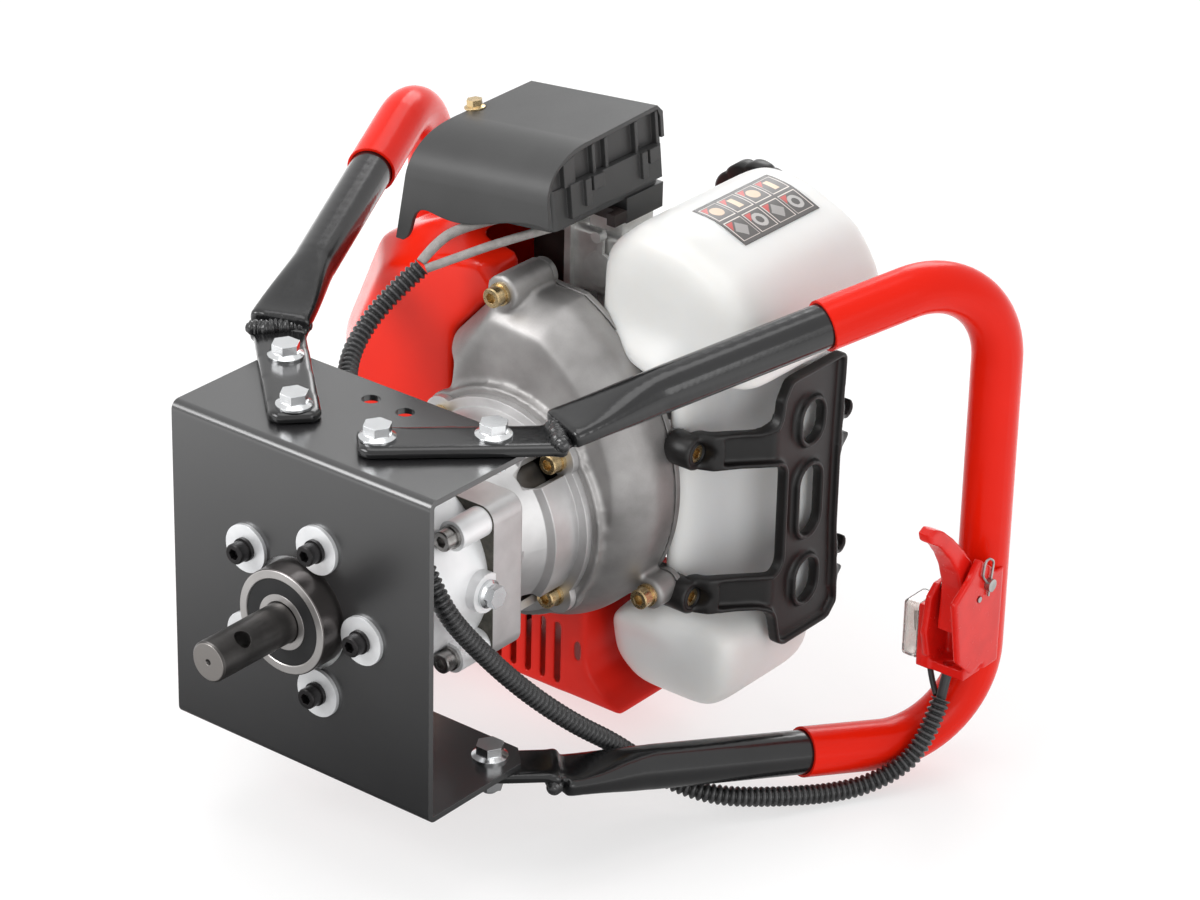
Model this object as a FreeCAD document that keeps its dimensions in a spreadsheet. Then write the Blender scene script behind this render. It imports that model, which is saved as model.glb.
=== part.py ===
import FreeCAD, Part
import math
import os
import re
import Sketcher

# Power head of an earth auger. X points to the fuel tank, Y from the output shaft
# back to the recoil starter, Z up as the machine lies. The origin is on the output
# shaft's axis, at the outer face of its front bearing.

V = FreeCAD.Vector
doc = FreeCAD.newDocument("PowerAuger")
sheet = doc.addObject("Spreadsheet::Sheet", "Sizes")

# Each row is a name, its value in millimetres, degrees or pieces, and what it is.
SIZES = [
    ("plate_front", 12.5, "bracket face behind the bearing face"),
    ("sheet_wall", 3, "bracket sheet"),
    ("bracket_width", 156.5, ""),
    ("bracket_height", 165.7, ""),
    ("bracket_depth", 76.3, ""),
    ("bend_outer", 4.5, "outer bend radius of the bracket"),
    ("corner_cut", 10, "cut corners at the rear of the flanges"),
    ("bearing_hole", 56, "hole in the bracket face"),
    ("face_circle", 78, "pitch circle of the face screws"),
    ("face_screws", 5, ""),
    ("screw_hole", 6.6, "clearance hole for M6"),
    ("screw_shank", 6, "M6"),
    ("screw_head", 10, "socket head diameter"),
    ("screw_head_tall", 6, ""),
    ("socket_key", 5, "hexagon socket across flats"),
    ("spring_washer", 11.5, "diameter"),
    ("spring_washer_thick", 1.8, ""),
    ("fender_washer", 24, "diameter"),
    ("fender_washer_thick", 2, ""),
    ("face_screw_long", 20.5, "below the head"),
    ("inner_bolt_x", 25.2, "inner handle bolts"),
    ("inner_bolt_y", 38.1, ""),
    ("outer_bolt_x", 63.2, "outer handle bolts"),
    ("outer_bolt_y", 74.2, ""),
    ("handle_bolt", 8, "M8"),
    ("handle_bolt_hole", 8.6, ""),
    ("spare_hole", 9, ""),
    ("spare_x", 10.4, ""),
    ("spare_y", 74.3, ""),
    ("shaft", 20, "output shaft diameter"),
    ("shaft_reach", 48.5, "shaft in front of the bearing"),
    ("shaft_chamfer", 1, ""),
    ("pin_hole", 8.5, "cross hole in the shaft"),
    ("pin_hole_place", 32.2, "cross hole to bearing face"),
    ("pin_hole_angle", 40, "cross hole's turn about the shaft"),
    ("bearing_outer", 52, "62304 bearing"),
    ("bearing_width", 21, ""),
    ("bearing_ring", 4.6, "wall of the outer ring"),
    ("bearing_inner_ring", 3.7, "wall of the inner ring"),
    ("ball", 9.2, ""),
    ("balls", 7, ""),
    ("seal_set_back", 0.6, ""),
    ("seal_wall", 1.2, ""),
    ("running_gap", 0.05, "radial gap of running fits"),
    ("gap", 0.3, "gap between moving pieces"),
    ("gear_module", 1.2, ""),
    ("wheel_teeth", 30, ""),
    ("pinion_teeth", 13, ""),
    ("gear_width", 10, ""),
    ("gear_space", 1, "between neighbouring gear planes"),
    ("gear_start", 31, "front of the output gear"),
    ("case_radius", 49, "gearbox drum"),
    ("case_cavity", 20.5, "cavity round each gear axis"),
    ("case_half_wide", 51.4, ""),
    ("case_half_tall", 40, ""),
    ("case_corner", 8, ""),
    ("case_joint", 89.5, "joint plane of the gearbox"),
    ("case_rear", 110, "rear shoulder of the square body"),
    ("gasket", 0.5, ""),
    ("case_bolt_in", 8, "from the case's side to its bolts"),
    ("case_bolt_z", 32, ""),
    ("case_boss", 7.5, "radius of the screw bosses"),
    ("case_boss_front", 69, "front of the screw bosses"),
    ("plug_place", 83, "oil plug along the case"),
    ("plug_flange", 14, ""),
    ("plug_hex", 10, ""),
    ("neck_radius", 36, "bell where it leaves the square body"),
    ("bell_radius", 50, ""),
    ("bell_front", 135.5, ""),
    ("bell_wall", 4, ""),
    ("flange_front", 154.6, ""),
    ("flange_thick", 4, ""),
    ("flange_radius", 55, ""),
    ("lobe_place", 36, "flange screws from the axis, both ways"),
    ("lobe_radius", 10, ""),
    ("mate_radius", 59, "matching flange of the fan housing"),
    ("mate_thick", 4.5, ""),
    ("input_shaft", 12, ""),
    ("drum_bore", 78, "clutch drum inside"),
    ("drum_wall", 2.5, ""),
    ("drum_front", 131, ""),
    ("drum_long", 19.5, ""),
    ("shoe_outer", 74.4, "clutch shoes at rest"),
    ("shoe_inner", 44, ""),
    ("shoe_width", 13, ""),
    ("shoe_slot", 9, "gap between the shoe ends"),
    ("shoe_pivot", 29, "pivot screws from the axis"),
    ("shoe_screw", 8, ""),
    ("hub_radius", 34, "flywheel hub"),
    ("hub_front", 152.5, ""),
    ("wheel_front", 176, "front of the flywheel's disc"),
    ("wheel_back", 190, ""),
    ("wheel_radius", 43, ""),
    ("blades", 14, ""),
    ("blade_tall", 11, ""),
    ("blade_wall", 2.2, ""),
    ("fan_back", 196, "rear rim of the fan housing"),
    ("fan_wall", 3, ""),
    ("fan_low", 66, "scroll radius at its tightest"),
    ("fan_top", 104, "top of the scroll"),
    ("fan_shoulder", 14, "front shoulder of the scroll"),
    ("fan_side", 50, "flat side of the scroll, towards the cylinder"),
    ("journal", 15, "crankshaft diameter"),
    ("crank_front", 205, "crankcase chamber"),
    ("crank_back", 251, ""),
    ("crank_web", 30, ""),
    ("crank_throw", 15, ""),
    ("block_back", 262, ""),
    ("block_radius", 43, ""),
    ("cylinder_y", 228, "cylinder axis"),
    ("cylinder_core", 29, ""),
    ("fin_half", 42, ""),
    ("fins", 9, ""),
    ("fin_pitch", 9, ""),
    ("fin_wall", 2.2, ""),
    ("starter_radius", 61, ""),
    ("starter_back", 300, ""),
    ("starter_wall", 2.5, ""),
    ("pulley_radius", 28, ""),
    ("tube", 22, "handle tube diameter"),
    ("tube_wall", 2, ""),
    ("weld_x", 87.8, "flat bar's weld"),
    ("weld_y", 98.9, ""),
    ("weld_rise", 9.05, "from the bracket's flange to the middle of the weld"),
    ("grip_x", 177.1, "upright part of the handle"),
    ("grip_y", 312.3, ""),
    ("grip_z", 131.2, "height of the bend's corner"),
    ("handle_bend", 46, "bend radius"),
    ("grip_start", 134, "from the weld to the sleeve's end"),
    ("grip_wall", 1.5, "sleeve"),
    ("bar_wide", 25, "flat bar"),
    ("bar_thick", 5.5, ""),
    ("flat_wide", 30, "flattened end of the tube"),
    ("flat_thick", 10, ""),
    ("flat_long", 52, "length over which the tube flattens"),
    ("cowl_wall", 1.8, "red cowl over the cylinder"),
    ("tank_front", 199, ""),
    ("tank_back", 311, ""),
    ("tank_out", 115, "outermost face of the tank"),
    ("tank_top", 142, ""),
    ("tank_low", 104, ""),
    ("tank_round", 11, ""),
    ("tank_wall", 6, "its end walls, thinner at the rounded corners"),
    ("guard_face", 113, "outer face of the tank guard"),
    ("guard_wall", 2.4, "its rims"),
    ("guard_rim", 6.5, "depth of its rim"),
    ("guard_floor", 3, "its plate"),
    ("guard_leg", 19, "height of a leg"),
    ("guard_window", 17, "width of a window"),
    ("guard_window_y", 255.5, ""),
    ("guard_front", 234.5, ""),
    ("guard_wide", 48, ""),
    ("guard_half", 72, ""),
    ("guard_boss_x", 86, "outer face of the screw bosses"),
    ("guard_boss_y", 199, ""),
    ("guard_boss_z", 38.7, ""),
    ("guard_boss", 8.5, "radius"),
    ("filter_left", 74, "air filter box towards the cylinder head"),
    ("filter_right", 11, ""),
    ("filter_front", 172.5, ""),
    ("filter_back", 262, ""),
    ("filter_low", 138, ""),
    ("filter_joint", 158, ""),
    ("filter_top", 177, ""),
    ("filter_wall", 2.2, "of the cover"),
    ("filter_tilt", 6, "lean of the air filter about Y"),
    ("cap_x", 30, "filler cap"),
    ("cap_z", 110, ""),
    ("cap_radius", 20, ""),
    ("conduit", 10, "outer diameter"),
    ("cable", 5, ""),
    ("sleeve", 6, ""),
]

CASE_BOLT_X = "(case_half_wide - case_bolt_in)"


def write_sheet():
    for row, (name, value, note) in enumerate(SIZES, 1):
        sheet.set("A%d" % row, name)
        sheet.set("B%d" % row, str(value))
        sheet.setAlias("B%d" % row, name)
        sheet.set("C%d" % row, note or name.replace("_", " "))
    doc.recompute()


def size(expression):
    """Value of an expression in the sheet's names."""
    if isinstance(expression, str):
        return float(sheet.evalExpression(expression))
    return float(expression)


def linked(expression):
    """The expression with each of the sheet's names written as a link to the sheet."""
    names = {row[0] for row in SIZES}
    return re.sub(r"[A-Za-z_]\w*",
                  lambda word: "Sizes." + word.group() if word.group() in names else word.group(),
                  str(expression))


def bind(item, name, expression):
    item.setExpression(name, linked(expression))


NODES = []


def node(item, label):
    """Gives a finished sub-part its name and marks it for export."""
    item.Label = label
    NODES.append(item)
    return item


def place(item, at=(0, 0, 0), axis=(0, 0, 1), turn=0):
    """Placement whose position follows the sheet."""
    base = V(*[size(value) for value in at])
    item.Placement = FreeCAD.Placement(base, FreeCAD.Rotation(V(*axis), size(turn)))
    for letter, value in zip("xyz", at):
        bind(item, "Placement.Base." + letter, value)
    return item


class Body:
    """A PartDesign body built from dimensioned sketches on its own origin planes."""

    def __init__(self, label):
        self.body = doc.addObject("PartDesign::Body", label)
        self.count = 0

    def name(self, kind):
        self.count += 1
        return "%s_%s_%d" % (self.body.Name, kind, self.count)

    def sketch(self, plane, offset=0, turn=0):
        sketch = self.body.newObject("Sketcher::SketchObject", self.name("sketch"))
        role = plane + "_Plane"
        datum = [item for item in self.body.Origin.OriginFeatures if item.Role == role][0]
        sketch.AttachmentSupport = [(datum, "")]
        sketch.MapMode = "FlatFace"
        sign = "-" if plane == "XZ" else ""
        bind(sketch, "AttachmentOffset.Base.z", "%s(%s)" % (sign, offset))
        if turn:
            sketch.AttachmentOffset = FreeCAD.Placement(V(), FreeCAD.Rotation(V(0, 0, 1), 1))
            bind(sketch, "AttachmentOffset.Rotation.Angle", turn)
        return sketch

    def point(self, sketch, geometry, end, at):
        for kind, value in zip(("DistanceX", "DistanceY"), at):
            number = sketch.addConstraint(
                Sketcher.Constraint(kind, -1, 1, geometry, end, size(value)))
            bind(sketch, "Constraints[%d]" % number, value)

    def polygon(self, sketch, corners):
        flat = [V(size(x), size(y), 0) for x, y in corners]
        start = sketch.GeometryCount
        total = len(flat)
        for index in range(total):
            sketch.addGeometry(Part.LineSegment(flat[index], flat[(index + 1) % total]), False)
        for index in range(total):
            following = start + (index + 1) % total
            sketch.addConstraint(
                Sketcher.Constraint("Coincident", start + index, 2, following, 1))
        for index, corner in enumerate(corners):
            self.point(sketch, start + index, 1, corner)

    def circle(self, sketch, centre, radius):
        shape = Part.Circle(V(size(centre[0]), size(centre[1]), 0), V(0, 0, 1), size(radius))
        number = sketch.addGeometry(shape, False)
        self.point(sketch, number, 3, centre)
        bound = sketch.addConstraint(Sketcher.Constraint("Radius", number, size(radius)))
        bind(sketch, "Constraints[%d]" % bound, radius)

    def slot(self, sketch, centre, half, radius):
        """Upright oval hole: two half circles joined by straight sides."""
        x, y, run, r = size(centre[0]), size(centre[1]), size(half), size(radius)
        ring = Part.Circle(V(x, y + run, 0), V(0, 0, 1), r)
        top = sketch.addGeometry(Part.ArcOfCircle(ring, 0, math.pi), False)
        left = sketch.addGeometry(Part.LineSegment(V(x - r, y + run, 0), V(x - r, y - run, 0)), False)
        ring = Part.Circle(V(x, y - run, 0), V(0, 0, 1), r)
        low = sketch.addGeometry(Part.ArcOfCircle(ring, math.pi, 2 * math.pi), False)
        right = sketch.addGeometry(Part.LineSegment(V(x + r, y - run, 0), V(x + r, y + run, 0)), False)
        for one, one_end, other, other_end in ((top, 2, left, 1), (left, 2, low, 1),
                                               (low, 2, right, 1), (right, 2, top, 1)):
            sketch.addConstraint(
                Sketcher.Constraint("Tangent", one, one_end, other, other_end))
        self.point(sketch, top, 3, (centre[0], "%s + %s" % (centre[1], half)))
        self.point(sketch, low, 3, (centre[0], "%s - (%s)" % (centre[1], half)))
        bound = sketch.addConstraint(Sketcher.Constraint("Radius", top, r))
        bind(sketch, "Constraints[%d]" % bound, radius)

    def fill(self, sketch, corners, circles, slots):
        if corners:
            self.polygon(sketch, corners)
        for x, y, radius in circles:
            self.circle(sketch, (x, y), radius)
        for x, y, half, radius in slots:
            self.slot(sketch, (x, y), half, radius)

    def pad(self, plane, start, length, corners=(), circles=(), slots=(), turn=0):
        sketch = self.sketch(plane, start, turn)
        self.fill(sketch, corners, circles, slots)
        feature = self.body.newObject("PartDesign::Pad", self.name("pad"))
        feature.Profile = sketch
        feature.Reversed = plane == "XZ"
        bind(feature, "Length", length)
        self.body.Tip = feature
        return feature

    def pocket(self, plane, start, length, corners=(), circles=(), slots=()):
        """Cuts from start towards the plane's positive axis."""
        sketch = self.sketch(plane, start)
        self.fill(sketch, corners, circles, slots)
        feature = self.body.newObject("PartDesign::Pocket", self.name("pocket"))
        feature.Profile = sketch
        feature.Reversed = plane != "XZ"
        bind(feature, "Length", length)
        self.body.Tip = feature
        return feature

    def turned(self, kind, corners):
        """Revolves radius and distance pairs about Y."""
        sketch = self.sketch("XY")
        self.polygon(sketch, corners)
        feature = self.body.newObject("PartDesign::" + kind, self.name(kind.lower()))
        feature.Profile = sketch
        feature.ReferenceAxis = (sketch, ["V_Axis"])
        feature.Angle = 360
        self.body.Tip = feature
        return feature

    def turn(self, corners):
        return self.turned("Revolution", corners)

    def groove(self, corners):
        return self.turned("Groove", corners)

    def around(self, feature, number):
        """Repeats a feature about the Y axis."""
        doc.recompute()
        pattern = self.body.newObject("PartDesign::PolarPattern", self.name("around"))
        pattern.Originals = [feature]
        pattern.Axis = (feature.Profile[0], ["N_Axis"])
        pattern.Angle = 360
        bind(pattern, "Occurrences", number)
        self.body.Tip = pattern
        return pattern

    def dress(self, kind, amount, chosen):
        """Fillet or chamfer on the edges that the test picks."""
        doc.recompute()
        base = self.body.Tip
        names = ["Edge%d" % (number + 1) for number, edge in enumerate(base.Shape.Edges)
                 if chosen(edge)]
        feature = self.body.newObject("PartDesign::" + kind, self.name(kind.lower()))
        feature.Base = (base, names)
        bind(feature, "Radius" if kind == "Fillet" else "Size", amount)
        self.body.Tip = feature
        return feature

    def fillet(self, amount, chosen):
        return self.dress("Fillet", amount, chosen)

    def chamfer(self, amount, chosen):
        return self.dress("Chamfer", amount, chosen)


def along(edge, axis):
    """Whether a straight edge runs along the given axis."""
    if len(edge.Vertexes) != 2 or edge.Curve.TypeId != "Part::GeomLine":
        return False
    run = edge.Vertexes[1].Point - edge.Vertexes[0].Point
    return abs(run.normalize().dot(axis)) > 0.999


def middle(edge):
    return edge.CenterOfMass


def group(label, shapes):
    """One node that holds several separate solids."""
    item = doc.addObject("Part::Feature", label)
    item.Shape = Part.makeCompound(shapes)
    return node(item, label)


def moved(shape, at, axis=(0, 0, 1), turn=0):
    copy = shape.copy()
    at = V(*[size(value) for value in at])
    copy.Placement = FreeCAD.Placement(at, FreeCAD.Rotation(V(*axis), turn)).multiply(copy.Placement)
    return copy


def cylinder(radius, length, at, axis):
    return Part.makeCylinder(size(radius), size(length), V(*[size(v) for v in at]), V(*axis))


def block(low, high):
    low = V(*[size(value) for value in low])
    high = V(*[size(value) for value in high])
    span = high - low
    return Part.makeBox(span.x, span.y, span.z, low)


def hexagon(flats):
    """Corners of a hexagon with the given width across flats."""
    far = "(%s)/2/cos(30)" % flats
    return [("%s*%.6f" % (far, math.cos(math.radians(60 * step))),
             "%s*%.6f" % (far, math.sin(math.radians(60 * step)))) for step in range(6)]


def socket_screw(label, long):
    """Socket head screw along Y: head in front of the origin, shank behind it."""
    screw = Body(label)
    screw.turn([(0, "-screw_head_tall"), ("screw_head/2 - 0.5", "-screw_head_tall"),
                ("screw_head/2", "-screw_head_tall + 0.5"), ("screw_head/2", 0),
                ("screw_shank/2", 0), ("screw_shank/2", long), (0, long)])
    screw.pocket("XZ", "-screw_head_tall", "screw_head_tall*0.6", hexagon("socket_key"))
    doc.recompute()
    return screw.body


def ring(outer, inner, start, length, at=(0, 0, 0), axis=(0, 1, 0)):
    """Flat ring along an axis."""
    at = V(*[size(value) for value in at]) + V(*axis) * size(start)
    solid = Part.makeCylinder(size(outer), size(length), at, V(*axis))
    return solid.cut(Part.makeCylinder(size(inner), size(length), at, V(*axis)))


def face_spots():
    """Places of the face screws, the first on the X axis."""
    number = int(size("face_screws"))
    reach = size("face_circle/2")
    angles = [2 * math.pi * step / number for step in range(number)]
    return [(reach * math.cos(turn), reach * math.sin(turn)) for turn in angles]


def bracket():
    part = Body("frame_bracket")
    half, front = "bracket_height/2", "plate_front"
    back = "plate_front + bracket_depth"
    part.pad("YZ", "-bracket_width/2", "bracket_width", [
        (front, "-" + half), (back, "-" + half), (back, "-%s + sheet_wall" % half),
        ("plate_front + sheet_wall", "-%s + sheet_wall" % half),
        ("plate_front + sheet_wall", half + " - sheet_wall"),
        (back, half + " - sheet_wall"), (back, half), (front, half)])
    front_y, height = size(front), size(half)
    part.fillet("bend_outer", lambda edge: along(edge, V(1, 0, 0))
                and abs(middle(edge).y - front_y) < 0.01 and abs(abs(middle(edge).z) - height) < 0.01)
    inner_y, inner_z = size("plate_front + sheet_wall"), size(half + " - sheet_wall")
    part.fillet("bend_outer - sheet_wall", lambda edge: along(edge, V(1, 0, 0))
                and abs(middle(edge).y - inner_y) < 0.01 and abs(abs(middle(edge).z) - inner_z) < 0.01)
    rear = size(back)
    part.chamfer("corner_cut", lambda edge: along(edge, V(0, 0, 1)) and abs(middle(edge).y - rear) < 0.01)
    part.pocket("XZ", "plate_front - 1", "sheet_wall + 2", circles=[(0, 0, "bearing_hole/2")])
    spots = []
    for step in range(int(size("face_screws"))):
        turn = "%d*360/face_screws" % step
        spots.append(("face_circle/2*cos(%s)" % turn, "face_circle/2*sin(%s)" % turn, "screw_hole/2"))
    part.pocket("XZ", "plate_front - 1", "sheet_wall + 2", circles=spots)
    holes = []
    for side in ("", "-"):
        holes.append((side + "inner_bolt_x", "inner_bolt_y", "handle_bolt_hole/2"))
        holes.append((side + "outer_bolt_x", "outer_bolt_y", "handle_bolt_hole/2"))
        holes.append((side + "spare_x", "spare_y", "spare_hole/2"))
    part.pocket("XY", "-bracket_height/2 - 1", "bracket_height + 2", circles=holes)
    return node(part.body, "frame_bracket")


def output_shaft():
    """Shaft with its gear on one piece, cross-drilled for the auger's pin."""
    part = Body("output_shaft")
    gear_back = "gear_start + gear_width"
    part.turn([(0, "-shaft_reach"), ("shaft/2 - shaft_chamfer", "-shaft_reach"),
               ("shaft/2", "-shaft_reach + shaft_chamfer"), ("shaft/2", "bearing_width"),
               ("shaft/2 + 2", "bearing_width"), ("shaft/2 + 2", "gear_start"),
               ("gear_module*(wheel_teeth/2 - 1.25)", "gear_start"),
               ("gear_module*(wheel_teeth/2 - 1.25)", gear_back), (0, gear_back)])
    teeth(part, "wheel_teeth", "gear_start", "180 + pin_hole_angle")
    part.pocket("XY", "-shaft", "2*shaft", circles=[(0, "-pin_hole_place", "pin_hole/2")])
    part.groove([(0, "-shaft_reach"), (1.6, "-shaft_reach"), (0, "-shaft_reach + 2.8")])
    part.groove([("shaft/2 - 0.6", 0), ("shaft/2 + 0.6", 0), ("shaft/2 + 0.6", 1.4), ("shaft/2 - 0.6", 1.4)])
    place(part.body, (0, 0, 0), (0, 1, 0), "pin_hole_angle")
    return node(part.body, "output_shaft")


def teeth(part, number, start, turn, fits="wheel"):
    """Straight-flanked teeth round Y; the first one points along Z, turned by the angle."""
    pitch = "gear_module*%s/2" % number
    root = "(%s - 1.4*gear_module)" % pitch
    tip = "(%s + 0.9*gear_module)" % pitch
    feature = part.pad("XZ", start, "gear_width", [
        ("-1.0*gear_module", root), ("1.0*gear_module", root),
        ("0.68*gear_module", pitch), ("0.34*gear_module", tip),
        ("-0.34*gear_module", tip), ("-0.68*gear_module", pitch)], turn=turn)
    return part.around(feature, number)


def front_bearing():
    """62304 sealed ball bearing: rings, balls with their cage, seals."""
    outer = Body("output_bearing_outer")
    bore = "bearing_outer/2 - bearing_ring"
    outer.turn([(bore, 0.4), (bore + " + 0.4", 0), ("bearing_outer/2 - 0.6", 0),
                ("bearing_outer/2", 0.6), ("bearing_outer/2", "bearing_width"), (bore, "bearing_width")])
    mid = "bearing_width/2"
    ride = "(shaft/2 + bearing_outer/2)/2"
    outer.groove([(bore + " - 0.01", mid + " - ball*0.36"), (bore + " + 1.3", mid + " - ball*0.2"),
                  (bore + " + 1.3", mid + " + ball*0.2"), (bore + " - 0.01", mid + " + ball*0.36")])
    node(outer.body, "output_bearing_outer")
    inner = Body("output_bearing_inner")
    land = "shaft/2 + bearing_inner_ring"
    inner.turn([("shaft/2", 0.8), ("shaft/2 + 0.5", 0.3), (land, 0.3), (land, "bearing_width"),
                ("shaft/2", "bearing_width")])
    inner.groove([(land + " + 0.01", mid + " - ball*0.36"), (land + " - 1.3", mid + " - ball*0.2"),
                  (land + " - 1.3", mid + " + ball*0.2"), (land + " + 0.01", mid + " + ball*0.36")])
    node(inner.body, "output_bearing_inner")
    number = int(size("balls"))
    reach, radius = size(ride), size("ball/2")
    cage = ring(reach + 1, reach - 1, size(mid) - 1.5, 3)
    solids = []
    for step in range(number):
        turn = 2 * math.pi * step / number
        centre = V(reach * math.cos(turn), size(mid), reach * math.sin(turn))
        solids.append(Part.makeSphere(radius, centre))
        cage = cage.cut(Part.makeSphere(radius + size("running_gap"), centre))
    group("output_bearing_balls", solids + cage.Solids)
    seal = Body("output_bearing_seal")
    seal.turn([(land + " + running_gap", "seal_set_back"), (bore + " - running_gap", "seal_set_back"),
               (bore + " - running_gap", "seal_set_back + seal_wall"),
               (land + " + running_gap", "seal_set_back + seal_wall")])
    doc.recompute()
    front = seal.body.Shape
    rear = moved(front, (0, "bearing_width - 2*seal_set_back - seal_wall", 0))
    group("output_bearing_seals", [front.copy(), rear])


def face_fasteners():
    """Five socket screws with spring washers, and their large washers, on the face."""
    screw = socket_screw("face_screw", "face_screw_long")
    seat = "plate_front - fender_washer_thick - spring_washer_thick"
    screws, washers = [], []
    for x, z in face_spots():
        screws.append(moved(screw.Shape, (x, seat, z)))
        screws.append(ring("spring_washer/2", "screw_shank/2 + 0.2", seat, "spring_washer_thick", (x, 0, z)))
        washers.append(ring("fender_washer/2", "screw_shank/2 + 0.3", "plate_front - fender_washer_thick",
                            "fender_washer_thick", (x, 0, z)))
    group("face_screws", screws)
    group("face_washers", washers)


def rounded_block(half_x, half_z, radius, start, length):
    """Block along Y whose four long edges are rounded."""
    solid = block(("-(%s)" % half_x, start, "-(%s)" % half_z), (half_x, "%s + %s" % (start, length), half_z))
    edges = [edge for edge in solid.Edges if along(edge, V(0, 1, 0))]
    return solid.makeFillet(size(radius), edges)


def case_bosses(start, length, radius):
    spots = [(x, z) for x in (CASE_BOLT_X, "-" + CASE_BOLT_X) for z in ("case_bolt_z", "-case_bolt_z")]
    return [cylinder(radius, length, (x, start, z), (0, 1, 0)) for x, z in spots]


def axis_gap():
    """Distance between the two gear axes."""
    return size("gear_module*(wheel_teeth + pinion_teeth)/2")


def front_case():
    """Cast front half of the gearbox: drum with screw bosses, drafted nose, plug boss."""
    start = size("plate_front + sheet_wall")
    end = size("case_joint - gasket")
    radius = size("case_radius")
    drum = Part.makeCone(radius - 2, radius, end - start, V(0, start, 0), V(0, 1, 0))
    ribs = []
    for x in (1, -1):
        for z in (1, -1):
            spot = V(x * size(CASE_BOLT_X), size("case_boss_front"), z * size("case_bolt_z"))
            ribs.append(Part.makeCylinder(size("case_boss"), end - spot.y, spot, V(0, 1, 0)))
            web = block((0, "case_boss_front + 4", "-case_boss*0.7"), (CASE_BOLT_X, "case_joint - gasket",
                                                                     "case_boss*0.7"))
            turn = -math.degrees(math.atan2(z * size("case_bolt_z"), x * size(CASE_BOLT_X)))
            ribs.append(moved(web, (0, 0, 0), (0, 1, 0), turn))
    plug = cylinder("plug_flange/2 + 3", "case_half_wide + 2 - 30", (30, "plug_place", 0), (1, 0, 0))
    solid = drum.multiFuse(ribs + [plug]).removeSplitter()
    solid = solid.cut(block((30, "case_joint - gasket", -20), (80, "case_joint + 20", 20)))
    cavity_front = size("gear_start") - 0.8
    for z in (0, -axis_gap()):
        solid = solid.cut(Part.makeCylinder(size("case_cavity"), end - cavity_front, V(0, cavity_front, z), V(0, 1, 0)))
    solid = solid.cut(cylinder("bearing_outer/2", "bearing_width - plate_front - sheet_wall",
                               (0, start, 0), (0, 1, 0)))
    solid = solid.cut(cylinder("shaft/2 + 2 + 0.5", 30, (0, start, 0), (0, 1, 0)))
    solid = solid.cut(cylinder("4 + running_gap", 8, (0, cavity_front - 6, -axis_gap()), (0, 1, 0)))
    for x, z in face_spots():
        solid = solid.cut(cylinder("screw_shank/2 + 0.2", 14, (x, start, z), (0, 1, 0)))
    for boss in case_bosses("case_boss_front", 30, "screw_shank/2 + 0.2"):
        solid = solid.cut(boss)
    for boss in case_bosses(start, size("case_boss_front") - start, "spring_washer/2 + 0.2"):
        solid = solid.cut(boss)
    solid = solid.cut(cylinder("plug_hex/2 - 0.5", 40, (size("case_half_wide") - 8, "plug_place", 0), (1, 0, 0)))
    solid = solid.cut(cylinder("plug_flange/2 + gap", 12, ("case_half_wide + 2", "plug_place", 0), (1, 0, 0)))
    item = doc.addObject("Part::Feature", "gearbox_front_case")
    item.Shape = solid.removeSplitter()
    node(item, "gearbox_front_case")


def case_outline(start, length):
    body = rounded_block("case_half_wide", "case_half_tall", "case_corner", start, length)
    return body.fuse(cylinder("case_radius", length, (0, start, 0), (0, 1, 0)))


def gasket():
    thin = case_outline("case_joint - gasket", "gasket")
    for z in (0, -axis_gap()):
        thin = thin.cut(cylinder("case_cavity", 4, (0, "case_joint - 2", z), (0, 1, 0)))
    for boss in case_bosses("case_joint - 4", 8, "screw_shank/2 + 0.2"):
        thin = thin.cut(boss)
    item = doc.addObject("Part::Feature", "gearbox_gasket")
    item.Shape = thin.removeSplitter()
    node(item, "gearbox_gasket")


def lobes(start, length, radius, ear):
    """Flange disc with four ears for the flange screws."""
    disc = cylinder(radius, length, (0, start, 0), (0, 1, 0))
    reach = size("lobe_place") * math.sqrt(2)
    arms = []
    for step in range(4):
        arm = block((0, start, "-(%s)" % ear), (reach, "%s + %s" % (start, length), ear))
        tip = cylinder(ear, length, (reach, start, 0), (0, 1, 0))
        arms.append(moved(arm.fuse(tip), (0, 0, 0), (0, 1, 0), 45 + 90 * step))
    return disc.multiFuse(arms)


def lobe_spots():
    return [(x * size("lobe_place"), z * size("lobe_place")) for x in (1, -1) for z in (1, -1)]


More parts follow.
